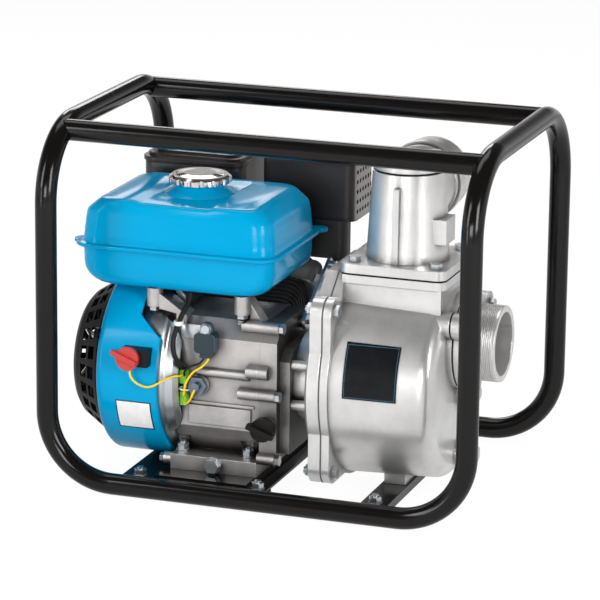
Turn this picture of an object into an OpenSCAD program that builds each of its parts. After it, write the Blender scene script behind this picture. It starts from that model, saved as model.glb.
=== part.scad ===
// Engine driven self-priming water pump in a tubular carry frame.
// X runs along the crankshaft (starter to suction), Y to the rear, Z up.
// The origin is on the floor under the middle of the frame.

/* [Frame] */
// Outside diameter of the frame tube
tube_d = 25; // [22:0.5:28]
// Length between the upright centre lines
frame_l = 506; // [500:1:540]
// Width between the side centre lines
frame_w = 372; // [366:1:400]
// Overall height of the frame
frame_h = 434; // [430:1:470]
// Centre line radius of the lower bends
low_bend_r = 80; // [72:1:110]
// Centre line radius of the upper bends
top_bend_r = 85; // [70:1:95]
// Where the carry rails meet the upper bends, from the top
rail_angle = 23; // [15:1:35]

/* [Base] */
// Thickness of the pressed base sheets
sheet_t = 3; // [2:0.5:3.5]
// Height of the lower sheet flanges above the floor
flange_z = 12; // [11.5:0.5:14]
// Height of the engine seat above the floor
seat_z = 18; // [17:0.5:20]
// Length of the base sheets across the frame
base_len = 304; // [298:1:312]
// Width of the raised engine seat
seat_w = 113; // [112:1:116]
// Width of the left tray flange
tray_left_w = 42; // [34:1:46]
// Width of the right tray flange
tray_right_w = 22; // [18:1:26]
// Width of the pump channel
channel_w = 32; // [31:1:36]
// Distance of the base bolts from the ends of the base sheets
base_bolt_edge = 10; // [9:0.5:12]
// Diameter of the frame and flange bolts
bolt_d = 8; // [6:0.5:9]

/* [Engine] */
// Position of the crankshaft across the frame
crank_y = -34; // [-38:1:-30]
// Height of the crankshaft above the engine feet
crank_h = 106; // [105:1:110]
// Middle of the engine foot bolts along the crankshaft
engine_x = -77; // [-78:1:-76]
// Reach of the feet to the starter side of that middle
foot_left = 48; // [45:1:48]
// Reach of the feet to the pump side of that middle
foot_right = 58; // [54:1:58]
// Thickness of the engine feet
foot_t = 18; // [15:1:20]
// Spacing of the foot bolts along the crankshaft
foot_bolt_x = 81; // [78:1:84]
// Spacing of the foot bolts across the engine
foot_bolt_y = 162; // [158:1:166]
// Distance of the front foot bolts from the crankshaft
foot_front = 66; // [64:1:68]
// Length of the crankcase casting
case_len = 106; // [105:1:107]
// Distance of the crankcase front wall from the crankshaft
case_front = 78; // [76:1:80]
// Height of the crankcase top above the crankshaft
case_top = 74; // [72:1:76]
// Depth of the side cover
cover_t = 21; // [20:1:23]
// Depth of the drive end pad on the side cover
pad_t = 12; // [10:1:14]
// Tilt of the cylinder above horizontal
cyl_tilt = 25; // [22:1:28]
// Distance from the crankshaft to the cylinder base
cyl_base = 58; // [56:1:60]
// Distance from the crankshaft to the cylinder head joint
cyl_len = 112; // [110:1:114]
// Length of the cylinder head along the bore
head_len = 38; // [34:1:42]
// Length of the rocker cover along the bore
rocker_len = 28; // [24:1:32]
// Number of cylinder fins
fin_count = 7; // [4:1:7]
// Thickness of a cylinder fin
fin_t = 2.5; // [2:0.5:3]
// Crankshaft journal diameter
journal_d = 30; // [26:1:34]
// Drive shaft diameter
shaft_d = 20; // [18:1:22]

/* [Cooling and starter] */
// Outside radius of the fan cover
fan_r = 110; // [106:1:110]
// Depth of the fan cover
fan_depth = 77; // [74:1:79]
// Wall of the fan cover
shell_t = 2; // [1.5:0.5:3]
// Rounding of the fan cover edge
fan_round = 8; // [5:1:12]
// Depth of the starter housing
recoil_depth = 42; // [40:1:44]
// Radius of the starter housing at its base
recoil_base_r = 97; // [94:1:99]
// Radius of the starter housing at its face
recoil_face_r = 76; // [72:1:80]
// Wall of the starter housing
recoil_t = 3; // [2.5:0.5:4]
// Number of side slots around the starter housing
recoil_slots = 24; // [16:1:28]
// Radius at which the rope leaves the reel
reel_r = 44; // [42:1:46]
// Diameter of the starter rope
rope_d = 4.4; // [4:0.2:5]
// Length of the starter grip
grip_len = 90; // [80:1:100]
// Flywheel radius
wheel_r = 88; // [80:1:92]
// Number of fan blades on the flywheel
blade_count = 14; // [8:1:18]

/* [Fuel tank] */
// Length of the tank body
tank_l = 236; // [228:1:240]
// Depth of the tank body
tank_w = 172; // [166:1:178]
// Height of the tank bottom above the crankcase top
tank_up = 31; // [29:1:34]
// Height of the lower shell
tank_low_h = 48; // [44:1:50]
// Height of the upper shell
tank_top_h = 55; // [50:1:60]
// Wall of the tank shells
tank_t = 2.5; // [2:0.5:3]
// Middle of the tank along the crankshaft
tank_x = -125; // [-126:1:-124]
// Middle of the tank behind the crankshaft
tank_back = 4; // [2:1:6]
// Width of the seam flange
seam_w = 7; // [5:1:9]
// Radius of the fuel cap
cap_r = 37; // [34:1:40]
// Bore of the filler neck
neck_bore = 48; // [40:1:52]

/* [Intake and exhaust] */
// Length of the air cleaner
air_l = 128; // [120:1:134]
// Depth of the air cleaner
air_w = 100; // [90:1:104]
// Height of the air cleaner case
air_h = 68; // [60:1:72]
// Length of the muffler guard
guard_l = 118; // [110:1:124]
// Depth of the muffler guard
guard_w = 74; // [68:1:80]
// Height of the muffler guard
guard_h = 70; // [64:1:76]
// Diameter of the exhaust pipe
exhaust_d = 24; // [20:1:26]

/* [Pump] */
// Distance from the drive end pad to the casing joint
adapter_len = 52; // [50:1:56]
// Radius of the adapter where it meets the engine
adapter_r = 54; // [50:1:58]
// Height of the casing middle above the crankshaft
casing_up = 10; // [8:1:12]
// Half width of the square joint flange
joint_half = 110; // [108:1:112]
// Radius of the round part of the joint flange
joint_r = 120; // [118:1:122]
// Thickness of the adapter flange
adapter_flange_t = 14; // [12:1:16]
// Thickness of the casing flange
casing_flange_t = 9; // [8:1:11]
// Half spacing of the joint bolts
joint_bolt = 96; // [95:1:97]
// Radius of the casing at its flange
casing_r = 117; // [114:1:117]
// Radius of the casing at its closed end
casing_end_r = 113; // [108:1:114]
// Length of the casing from the joint to its closed end
casing_len = 130; // [128:1:134]
// Rounding of the closed end
casing_round = 18; // [14:1:22]
// Wall of the pump castings
cast_t = 8; // [7:0.5:9]
// Thickness of the gaskets
gasket_t = 2; // [1.5:0.5:2.5]
// Distance of the casing top flange from the casing joint
top_margin = 4; // [3:0.5:6]
// Half width of the square flange on the casing top
top_half = 63; // [62:1:65]
// Half spacing of the bolts in that flange
top_bolt = 48.5; // [47:0.5:50]
// Height of the casing top joint above the crankshaft
top_up = 141; // [139:1:145]
// Thickness of the elbow flange
elbow_flange_t = 11; // [9:1:13]
// Outside diameter of the port threads
thread_d = 87.8; // [84:0.1:90]
// Bore of the ports
port_d = 74; // [68:1:75]
// Length of the port threads
thread_len = 33; // [28:1:36]
// Height of the suction port above the crankshaft
suction_up = 60; // [58:1:62]
// Length of the suction boss on the closed end
suction_boss = 6; // [5:1:8]
// Thickness of the suction flange
suction_flange_t = 11; // [9:1:12]
// Riser radius at its base
riser_r = 48; // [46:1:49]
// Riser radius at its top
riser_top_r = 42; // [41:1:44]
// Height of the riser above the elbow flange
riser_h = 102; // [100:1:106]
// Height of the outlet branch above the elbow flange
branch_up = 76; // [75:1:78]
// Reach of the outlet collar behind the riser axis
branch_reach = 65; // [62:1:68]
// Impeller radius
impeller_r = 66; // [60:1:68]
// Number of impeller vanes
vane_count = 5; // [3:1:6]
// Radius of the volute wall
volute_r = 84; // [80:1:88]

/* [Clearances] */
// Gap between pieces of different bodies
gap = 0.3; // [0.2:0.05:0.4]
// Radial running clearance of shafts and pins
run = 0.05; // [0.03:0.01:0.09]

/* [Hidden] */
$fn = 64;
eps = 0.02;
// Frame lines
tube_r = tube_d / 2;
half_l = frame_l / 2;
half_w = frame_w / 2;
top_z = frame_h - tube_r;
rail_y = half_w - top_bend_r + top_bend_r * sin(rail_angle);
rail_z = top_z - top_bend_r + top_bend_r * cos(rail_angle);
// Base sheets, tabs and their bolts
bolt_r = bolt_d / 2;
hole_r = bolt_r + gap;
nut_r = bolt_d * 0.92;
nut_h = bolt_d * 0.8;
head_h = bolt_d * 0.55;
washer_r = bolt_d * 1.05;
washer_t = 1.6;
bolt_over = 2.5;
tab_t = 4;
tab_w = 24;
tab_over = 13;
tab_z = flange_z - sheet_t - tab_t;
lip_h = 10;
seat_x0 = engine_x - seat_w / 2;
seat_x1 = engine_x + seat_w / 2;
base_bolt_y = base_len / 2 - base_bolt_edge;
// Engine lines
crank_z = seat_z + crank_h;
foot_x0 = engine_x - foot_left;
foot_x1 = engine_x + foot_right;
foot_y0 = crank_y - case_front - 10;
foot_y1 = crank_y - foot_front + foot_bolt_y + 22;
foot_top = seat_z + foot_t;
pocket_r = washer_r + 1.5;
pocket_h = 18;
case_x0 = engine_x - 48;
seam_x = case_x0 + case_len;
cover_x = seam_x + cover_t;
pad_x = cover_x + pad_t;
journal_r = journal_d / 2;
shaft_r = shaft_d / 2;
case_low = -crank_h + foot_t;
front_y = crank_y - case_front;
case_tuck = 24;
case_slope = 34;
cyl_x = engine_x + 5;
cyl_half = 52;
fin_half_x = 52;
fin_half_y = 54;
fin_pitch = (cyl_len - cyl_base - 6) / fin_count;
barrel_r = 46;
// Cover bosses along the seam, as offsets from the crankshaft
seam_bolts = [[-68, 70], [-81, -8], [-81, -84]];
seam_boss_r = 7;
dowel_up = 19;
dowel_r = 8;
seam_boss_y = crank_y - case_front - 3;
cover_bolt_r = 3.5;
// Tank bosses on the crankcase
tank_z = crank_z + case_top + tank_up;
tank_boss_r = 9.5;
tank_boss_h = 22;
tank_boss_y = crank_y - 66;
tank_boss_x = [engine_x - 76, engine_x + 32];
tank_bolt_r = 3.5;
// Oil filler, drain and level switch
filler_x = seam_x + cover_t / 2;
filler_z = crank_z - 44;
filler_r = cover_t / 2 - 0.1;
filler_y = front_y - 11;
filler_bore_r = 8.3;
filler_depth = 56;
oil_seal_t = 2;
oil_cap_r = 14;
oil_cap_t = 10;
side_boss_y = foot_y0 + 8;
side_boss_z = seat_z + 10;
drain_x = engine_x + 6;
drain_r = 6;
drain_z = seat_z + drain_r + 4.5;
level_x = engine_x - 16;
level_z = crank_z - 3;
level_r = 7;
// Oil alert unit
alert_x = engine_x - 5;
alert_z = crank_z + 50;
alert_pins = [-10, 0];
alert_w = 26;
alert_h = 24;
alert_t = 14;
// Fan cover and starter
plate_t = 10;
plate_lip = 21;
lip_half = 75;
fan_x1 = case_x0 - plate_t;
fan_x0 = fan_x1 - fan_depth;
fan_open_r = recoil_base_r - 15;
duct_up = 96;
duct_back = 98;
duct_low = -40;
duct_end_low = -8;
notch_x = tank_boss_x[0] - tank_boss_r - 2;
notch_z = tank_z - tank_boss_h - 9;
notch_slope = 0.75;
notch_y = crank_y - 40;
plate_r = fan_r - 5;
cover_seat = 2;
recoil_x = fan_x0 - gap;
recoil_face = recoil_x - recoil_depth;
recoil_round = 6;
recoil_lug_r = 8;
recoil_lug_at = recoil_base_r + 5;
recoil_lugs = [-28, 92, 212];
recoil_lug_t = 5;
lug_bolt_r = 2.5;
slot_w = 15;
face_slot_w = 4.5;
slot_rows = [8, 20];
slot_h = 9;
post_r = 8;
rope_x = fan_x0 - 16;
rope_r = rope_d / 2;
rope_z = crank_z + reel_r;
groove_w = rope_d + 2;
reel_wall = 3;
reel_rim = reel_r + 6;
guide_r = 9;
guide_y0 = crank_y + 58;
guide_y1 = crank_y + 92;
grip_y = guide_y1 + gap;
grip_t = 18;
grip_d = 20;
cup_r = 34;
cup_x = fan_x0 - 5;
wheel_x0 = fan_x0 + 12;
wheel_x1 = fan_x1 - 26;
wheel_t = 12;
journal_x = wheel_x1 + 11;
hub_r = 30;
nose_r = 12;
// Engine switch
switch_x = fan_x1 - 30;
switch_z = crank_z + 32;
switch_w = 33;
switch_left = 10;
switch_h = 20;
switch_y = crank_y - fan_r - 10;
knob_r = 14;
knob_t = 9;
knob_pin_r = 4;
// Tank
tank_y = crank_y + tank_back;
seam_z = tank_z + tank_low_h;
tank_top_z = seam_z + tank_top_h;
seam_t = 2;
fan_room = 3;
ear_r = 11;
ears = [[tank_x - tank_l / 2 - 2, tank_y - 62], [tank_x + tank_l / 2 + 1, tank_y + 86]];
neck_h = 11;
neck_r = neck_bore / 2 + 5;
neck_base_r = neck_r + 9;
cap_gasket_t = 2;
cap_z = tank_top_z + neck_h;
cap_skirt = 3;
cap_h = 5;
cap_flutes = 16;
// Head, carburettor, air cleaner and muffler
spark_r = 7;
head_half_x = 52;
head_half_y = 48;
rocker_half_x = 44;
rocker_half_y = 34;
head_x0 = cyl_x - head_half_x;
head_reach = 9;
head_x1 = cyl_x + head_half_x + head_reach;
head_mid = cyl_len + head_len / 2;
port_y = crank_y + head_mid * cos(cyl_tilt);
port_z = crank_z + head_mid * sin(cyl_tilt);
carb_w = 30;
carb_l = 52;
carb_y = port_y + 8;
carb_z = port_z + 6;
carb_half = 18;
carb_x0 = head_x0 - carb_l;
bowl_r = 14;
bowl_h = 30;
lever_r = 8;
lever_len = 30;
lever_t = 4;
lever_pin_r = 2.5;
air_x0 = carb_x0 - 60;
air_y0 = port_y - 17;
air_up = 146;
air_z0 = crank_z + air_up;
air_wall = 3;
air_cover_h = 12;
air_pipe_r = 18;
guard_x1 = cover_x + 28;
guard_x0 = guard_x1 - guard_l;
guard_y0 = port_y - 4;
guard_up = 157;
guard_z0 = crank_z + guard_up;
guard_t = 2;
guard_holes = 6;
muffler_in = 6;
muffler_neck_w = 98;
muffler_neck_d = 28;
muffler_neck_up = 54;
guard_rows = 5;
exhaust_in = 26;
exhaust_x = guard_x1 - exhaust_in;
exhaust_r = exhaust_d / 2;
exhaust_y = guard_y0 + guard_t + exhaust_r + 4;
// Throttle lever beside the side cover
throttle_y = crank_y + 8;
throttle_z = crank_z + 60;
throttle_len = 84;
throttle_rise = 50;
throttle_t = 4;
// Pump lines
joint_x = pad_x + adapter_len;
casing_z = crank_z + casing_up;
casing_x = joint_x + gasket_t;
casing_end = casing_x + casing_len;
riser_x = joint_x + top_margin + top_half;
casing_top = crank_z + top_up;
elbow_z = casing_top + gasket_t;
riser_z = elbow_z + elbow_flange_t;
branch_z = riser_z + branch_up;
suction_z = crank_z + suction_up;
suction_seat = casing_end + suction_boss;
suction_x = suction_seat + gasket_t;
suction_face = suction_x + suction_flange_t;
thread_r = thread_d / 2;
port_r = port_d / 2;
flap_room_r = port_r + 12;
flap_r = port_r + 5;
flap_t = 5;
flap_pin_r = 2.5;
flap_pin_z = suction_z + port_r + 6;
flap_pin_x = suction_x - 6;
lug_at = 62;
lug_r = 15;
lug_disc_r = 56;
lug_angles = [30, 150, 270];
ear_at = 12;
flap_ear = 9;
joint_corner = 20;
dish_t = 10;
dish_r = 108;
adapter_studs = [[-58, 26], [-58, -22], [40, 4], [40, -44]];
stud_r = 6;
roof_half = 51;
roof_up = top_up - casing_up;
roof_side = joint_half - 18;
roof_low = joint_half - 12;
neck_half_x = top_half - 4;
neck_half_y = top_half - 1;
collar_r = thread_r + 3;
collar_t = 12;
bead_r = riser_top_r + 2;
bead_t = 6;
bead_at = branch_reach - collar_t - 4 - bead_t;
passage_r = 22;
fin_w = 7;
fin_reach = 51;
pad_w = 23;
pad_d = 35;
pad_h = 29;
prime_bore_r = 28;
prime_seal_t = 2;
prime_cap_r = 41;
prime_cap_t = 9;
prime_z = riser_z + riser_h;
drain_up = -76;
drain_boss_r = 15;
drain_boss_l = 10;
plug_r = 8;
plug_x = casing_end + drain_boss_l;
pump_foot_w = 26;
pump_foot_half = 34;
pump_foot_bolt = 20;
seal_r = 17;
seal_t = 8;
volute_x1 = casing_x + 40;
eye_r = 30;
impeller_x0 = casing_x + 3;
impeller_x1 = casing_x + 28;
impeller_disc = 5;
impeller_hub_r = 18;
vane_t = 4;
vane_bend = 46;
// Routes of the engine wires, chosen by hand
sleeve_r = 3;
wire_r = 1.3;
sleeve_path = [[-31, -66, case_top + tank_up - 1.5], [-32, -72, 93], [-35, -82, 83], [-38, -91, 70],
    [-41, -98, 54], [-40, -101, 40], [-36.5, -100, 30], [-33.2, -97, 24], [-32.4, -91, 19.5],
    [-33, -85, 17]];
yellow_path = [[-88, -115, 21.7], [-87, -116, 10], [-80, -116, 2], [-69, -115.5, -2], [-60, -115, 0],
    [-53, -112, 4], [-46, -107, 8], [-39, -101, 10], [-35, -96, 9.5], [-33.5, -87.1, 9]];
link_at = [[-33.2, 6], [-32.7, -20]];

// Round bars along each axis
module rod_x(x0, x1, r) {
    translate([x0, 0, 0]) rotate([0, 90, 0]) cylinder(h = x1 - x0, r = r);
}
module rod_y(y0, y1, r) {
    translate([0, y0, 0]) rotate([-90, 0, 0]) cylinder(h = y1 - y0, r = r);
}
module rod_z(z0, z1, r) {
    translate([0, 0, z0]) cylinder(h = z1 - z0, r = r);
}
// Hexagons along each axis
module hex_x(x0, x1, r) {
    translate([x0, 0, 0]) rotate([0, 90, 0]) cylinder(h = x1 - x0, r = r, $fn = 6);
}
module hex_y(y0, y1, r) {
    translate([0, y0, 0]) rotate([-90, 0, 0]) cylinder(h = y1 - y0, r = r, $fn = 6);
}
module hex_z(z0, z1, r) {
    translate([0, 0, z0]) cylinder(h = z1 - z0, r = r, $fn = 6);
}
// Profile given as (y, z), extruded along X from x0
module yz(x0, h) {
    translate([x0, 0, 0]) rotate([90, 0, 90]) linear_extrude(h) children();
}
// Profile given as (x, z), extruded along Y from y0
module xz(y0, h) {
    translate([0, y0 + h, 0]) rotate([90, 0, 0]) linear_extrude(h) children();
}
// Rounded rectangle about the origin
module rounded(w, h, r) {
    square([w - 2 * r, h], center = true);
    square([w, h - 2 * r], center = true);
    for (sx = [-1, 1], sy = [-1, 1]) {
        translate([sx * (w / 2 - r), sy * (h / 2 - r)]) circle(r = r);
    }
}
// Ring of points of a rounded rectangle at one height
function corner_ring(l, w, r, z, k = 4) = [
    for (q = [0:3]) for (i = [0:k])
        let (a = q * 90 + i * 90 / k, sx = (q == 0 || q == 3) ? 1 : -1, sy = q < 2 ? 1 : -1)
        [tank_x + sx * (l / 2 - r) + r * cos(a), tank_y + sy * (w / 2 - r) + r * sin(a), z]
];
// Skin through a stack of rings
module loft(rings) {
    n = len(rings[0]);
    m = len(rings);
    pts = [for (ring = rings) for (p = ring) p];
    low = [[for (i = [0:n - 1]) i]];
    high = [[for (i = [n - 1:-1:0]) (m - 1) * n + i]];
    sides = [for (j = [0:m - 2]) for (i = [0:n - 1])
        let (a = j * n + i, b = j * n + (i + 1) % n) each [[a, a + n, b + n], [a, b + n, b]]];
    polyhedron(points = pts, faces = concat(low, high, sides));
}
// Round wire along a list of points
function unit(v) = v / norm(v);
function tangent(p, i) = unit(p[min(i + 1, len(p) - 1)] - p[max(i - 1, 0)]);
module wire(path, r, ref, sides = 8) {
    rings = [for (i = [0:len(path) - 1])
        let (t = tangent(path, i), u = unit(cross(t, ref)), v = cross(u, t))
        [for (k = [0:sides - 1]) path[i] + r * (cos(k * 360 / sides) * u - sin(k * 360 / sides) * v)]];
    loft(rings);
}

// Frame
module bend(r, a0, rt) {
    rotate([0, 0, a0]) rotate_extrude(angle = 90) translate([r, 0]) circle(r = rt);
}
module top_bend(rt) {
    translate([half_l, top_bend_r - half_w, top_z - top_bend_r]) rotate([90, 0, 90]) bend(top_bend_r, 90, rt);
}
tab_x = [seat_x0 - tray_left_w / 2, seat_x1 + tray_right_w / 2, riser_x];
module half_loop() {
    difference() {
        union() {
            translate([0, -half_w, tube_r]) rod_x(low_bend_r - half_l, half_l - low_bend_r, tube_r);
            for (s = [0, 1]) {
                mirror([s, 0, 0]) {
                    translate([half_l - low_bend_r, -half_w, tube_r + low_bend_r])
                        rotate([90, 0, 0]) bend(low_bend_r, -90, tube_r);
                    translate([half_l, -half_w, 0]) rod_z(tube_r + low_bend_r, top_z - top_bend_r, tube_r);
                    top_bend(tube_r);
                    translate([half_l, 0, top_z]) rod_y(top_bend_r - half_w, 0, tube_r);
                }
            }
            for (x = tab_x) {
                translate([x - tab_w / 2, -half_w, tab_z])
                    cube([tab_w, half_w - base_bolt_y + tab_over, tab_t]);
            }
        }
        for (x = tab_x) {
            translate([x, -base_bolt_y, 0]) rod_z(tab_z - 1, tab_z + tab_t + 1, hole_r);
        }
    }
}
module frame_front() {
    color("#17181a") half_loop();
}
module frame_rear() {
    color("#17181a") mirror([0, 1, 0]) half_loop();
}
module carry_rail() {
    difference() {
        translate([0, -rail_y, rail_z]) rod_x(-half_l, half_l, tube_r);
        for (s = [0, 1]) {
            mirror([s, 0, 0]) top_bend(tube_r + gap);
        }
    }
}
module top_rail_front() {
    color("#17181a") carry_rail();
}
module top_rail_rear() {
    color("#17181a") mirror([0, 1, 0]) carry_rail();
}

// Base
foot_bolts = [for (sx = [-1, 1], y = [0, foot_bolt_y])
    [engine_x + sx * foot_bolt_x / 2, crank_y - foot_front + y]];
module engine_tray() {
    x0 = seat_x0 - tray_left_w;
    x1 = seat_x1 + tray_right_w;
    z0 = flange_z - sheet_t;
    z1 = seat_z - sheet_t;
    color("#1c1d20") difference() {
        xz(-base_len / 2, base_len) polygon([[x0, z0], [seat_x0 + sheet_t, z0], [seat_x0 + sheet_t, z1],
            [seat_x1 - sheet_t, z1], [seat_x1 - sheet_t, z0], [x1, z0], [x1, flange_z],
            [seat_x1, flange_z], [seat_x1, seat_z], [seat_x0, seat_z], [seat_x0, flange_z], [x0, flange_z]]);
        for (x = [tab_x[0], tab_x[1]], s = [-1, 1]) {
            translate([x, s * base_bolt_y, 0]) rod_z(0, seat_z, hole_r);
        }
        for (p = foot_bolts) {
            translate([p[0], p[1], 0]) rod_z(0, seat_z + 1, hole_r);
        }
    }
}
module pump_channel() {
    x0 = riser_x - channel_w / 2;
    x1 = riser_x + channel_w / 2;
    z0 = flange_z - lip_h;
    z1 = flange_z - sheet_t;
    color("#1c1d20") difference() {
        xz(-base_len / 2, base_len) polygon([[x0, z0], [x0 + sheet_t, z0], [x0 + sheet_t, z1],
            [x1 - sheet_t, z1], [x1 - sheet_t, z0], [x1, z0], [x1, flange_z], [x0, flange_z]]);
        for (y = [-base_bolt_y, base_bolt_y, crank_y - pump_foot_bolt, crank_y + pump_foot_bolt]) {
            translate([riser_x, y, 0]) rod_z(0, seat_z, hole_r);
        }
    }
}
// Bolt with its head under z0, its washer on z1 and its nut above
module stack_bolt(z0, z1) {
    hex_z(z0 - head_h, z0, nut_r);
    rod_z(z0 - eps, z1 + washer_t + nut_h + bolt_over, bolt_r);
    rod_z(z1, z1 + washer_t, washer_r);
    hex_z(z1 + washer_t - eps, z1 + washer_t + nut_h, nut_r);
}
module base_bolts() {
    color("#c9ccd0") {
        for (x = tab_x, s = [-1, 1]) {
            translate([x, s * base_bolt_y, 0]) stack_bolt(tab_z, flange_z);
        }
        for (p = foot_bolts) {
            translate([p[0], p[1], 0]) stack_bolt(seat_z - sheet_t, foot_top);
        }
    }
}

// Crankcase
function tilt_point(u, w) = [crank_y + u * cos(cyl_tilt) - w * sin(cyl_tilt),
    crank_z + u * sin(cyl_tilt) + w * cos(cyl_tilt)];
case_outline = [[front_y + case_tuck, crank_z + case_low], [front_y, crank_z + case_low + case_slope],
    [front_y, crank_z + case_top - 20],
    [front_y + 18, crank_z + case_top], [tilt_point(cyl_base, cyl_half)[0] - 4, crank_z + case_top],
    tilt_point(cyl_base, cyl_half), tilt_point(cyl_base, -cyl_half), [crank_y + 66, crank_z - 60], [crank_y + 46, crank_z + case_low]];
cover_outline = [[front_y, crank_z + case_low], [front_y, crank_z + case_top - 20],
    [front_y + 18, crank_z + case_top], [crank_y + 24, crank_z + case_top], [crank_y + 64, crank_z + 24],
    [crank_y + 66, crank_z - 60], [crank_y + 46, crank_z + case_low]];
pad_outline = [[front_y + 12, crank_z + case_low + 8], [front_y + 12, crank_z + 30],
    [front_y + 26, crank_z + 44], [crank_y + 28, crank_z + 44], [crank_y + 52, crank_z + 22],
    [crank_y + 54, crank_z - 56], [crank_y + 38, crank_z + case_low + 8]];
module seam_at(i) {
    translate([0, crank_y + seam_bolts[i][0], crank_z + seam_bolts[i][1]]) children();
}
module tank_arms() {
    top = tank_z;
    z0 = top - tank_boss_h;
    low = crank_z + case_top - 12;
    for (x = tank_boss_x) {
        translate([x, tank_boss_y, 0]) rod_z(z0, top, tank_boss_r);
    }
    xz(tank_boss_y - 6, 26) polygon([[tank_boss_x[0] - 4, z0], [tank_boss_x[0] - 4, top - 6],
        [tank_boss_x[0] + 8, top - 6], [case_x0 + 14, low + 14], [case_x0 + 14, low], [case_x0 + 1, low],
        [case_x0 + 1, z0 - 6]]);
    xz(tank_boss_y + 2, 20) polygon([[tank_boss_x[1] - 6, low], [tank_boss_x[1] - 6, top - 4],
        [tank_boss_x[1] + 6, top - 4], [tank_boss_x[1] + 24, low + 12], [tank_boss_x[1] + 24, low]]);
}
module crankcase() {
    color("#a9a6a3") difference() {
        union() {
            yz(case_x0, case_len) polygon(case_outline);
            translate([foot_x0, foot_y0, seat_z]) cube([foot_x1 - foot_x0, foot_y1 - foot_y0, foot_t]);
            translate([0, front_y, crank_z + 13]) rod_x(case_x0 + 30, seam_x - 12, 6);
            translate([case_x0 + 20, front_y - 2, crank_z - 26]) cube([case_len - 26, 4, 3]);
            translate([case_x0 + 20, front_y - 2, crank_z - 50]) cube([case_len - 30, 4, 22]);
            for (i = [0, 1]) {
                seam_at(i) rod_x(seam_x - 24, seam_x, seam_boss_r);
            }
            translate([0, seam_boss_y, crank_z + dowel_up]) rod_x(seam_x - 14, seam_x, dowel_r);
            translate([level_x, 0, level_z]) rod_y(front_y - 4, front_y + 1, level_r + 6);
            translate([drain_x, 0, drain_z]) rod_y(foot_y0 - 2, foot_y0 + 1, drain_r + 4);
            translate([0, side_boss_y, side_boss_z]) rod_x(foot_x0 - 10, foot_x0 + 1, 7.5);
            tank_arms();
        }
        translate([0, crank_y, crank_z]) rod_x(case_x0 - 1, seam_x + 1, journal_r + run);
        for (p = foot_bolts) {
            translate([p[0], p[1], 0]) rod_z(seat_z - 1, foot_top + 1, hole_r);
            translate([p[0], p[1], 0]) rod_z(foot_top, foot_top + pocket_h, pocket_r);
            translate([p[0] - pocket_r, foot_y0 - 1, foot_top])
                cube([2 * pocket_r, crank_y - foot_front - foot_y0 + 1, pocket_h]);
        }
        for (i = [0, 1]) {
            seam_at(i) rod_x(seam_x - 16, seam_x + 1, cover_bolt_r + gap);
        }
        translate([drain_x, 0, drain_z]) rod_y(foot_y0 - 3, foot_y0 + 16, drain_r + gap);
        translate([0, side_boss_y, side_boss_z]) rod_x(foot_x0 - 11, foot_x0 + 6, 3 + gap);
        translate([level_x, 0, level_z]) rod_y(front_y - 5, front_y + 14, level_r + gap);
        for (x = tank_boss_x) {
            translate([x, tank_boss_y, 0]) rod_z(tank_z - tank_boss_h - 1, tank_z + 1, tank_bolt_r + gap);
            translate([x, tank_boss_y, 0]) rod_z(tank_z - tank_boss_h - 9, tank_z - tank_boss_h, tank_boss_r);
        }
        for (z = alert_pins) {
            translate([alert_x, 0, alert_z + z]) rod_y(front_y - 1, front_y + 8, tank_bolt_r + gap);
        }
    }
}
module side_cover() {
    color("#a29f9c") difference() {
        union() {
            yz(seam_x, cover_t) polygon(cover_outline);
            yz(cover_x, pad_t) polygon(pad_outline);
            for (i = [0:2]) {
                seam_at(i) rod_x(seam_x, cover_x, seam_boss_r);
            }
            translate([0, seam_boss_y, crank_z + dowel_up]) rod_x(seam_x, seam_x + 12, dowel_r);
            translate([filler_x, 0, filler_z]) rod_y(filler_y, front_y + 1, filler_r);
            translate([0, throttle_y, throttle_z]) rod_x(cover_x, cover_x + 3, 7);
            translate([0, throttle_y, throttle_z]) rod_x(cover_x, cover_x + 11, lever_pin_r);
        }
        translate([0, crank_y, crank_z]) rod_x(seam_x - 1, pad_x + 1, journal_r + run);
        translate([filler_x, 0, filler_z]) rod_y(filler_y - 1, filler_y + filler_depth, filler_bore_r);
        for (i = [0:2]) {
            seam_at(i) rod_x(seam_x - 1, cover_x + 1, cover_bolt_r + gap);
        }
    }
}
module cap_screw_x(x, l, d) {
    hex_x(x, x + d * 0.8, d * 0.95);
    rod_x(x - l, x + eps, d / 2);
}
module engine_bolts() {
    color("#cfd2d6") {
        for (i = [0, 1]) {
            seam_at(i) cap_screw_x(cover_x, cover_t + 14, 2 * cover_bolt_r);
        }
        seam_at(2) cap_screw_x(cover_x, cover_t, 2 * cover_bolt_r);
        translate([foot_x0 - 10, side_boss_y, side_boss_z]) mirror([1, 0, 0]) cap_screw_x(0, 12, 6);
        for (x = tank_boss_x) {
            translate([x, tank_boss_y, 0]) {
                hex_z(tank_z - tank_boss_h - 5, tank_z - tank_boss_h, 7);
                rod_z(tank_z - tank_boss_h - eps, tank_z, tank_bolt_r);
            }
        }
        for (a = recoil_lugs) {
            lug_turn(a) translate([recoil_x, 0, 0]) mirror([1, 0, 0])
                cap_screw_x(recoil_lug_t, recoil_lug_t + 2, 2 * lug_bolt_r);
        }
        translate([air_x0 + air_l / 2, air_y0 + air_w / 2, air_z0 + air_h + air_cover_h]) {
            hex_z(0, 5, 7);
            for (s = [-1, 1]) {
                translate([s * 10, 0, 8]) rotate([90, 0, 0]) translate([0, 0, -1.5]) cylinder(h = 3, r = 7);
            }
        }
    }
}
module drain_bolt() {
    color("#d6d8da") translate([drain_x, 0, drain_z]) {
        hex_y(foot_y0 - 10, foot_y0 - 4, 9);
        rod_y(foot_y0 - 4, foot_y0 - 2, 10);
        rod_y(foot_y0 - 4 - eps, foot_y0 + 14, drain_r);
    }
}
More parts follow.
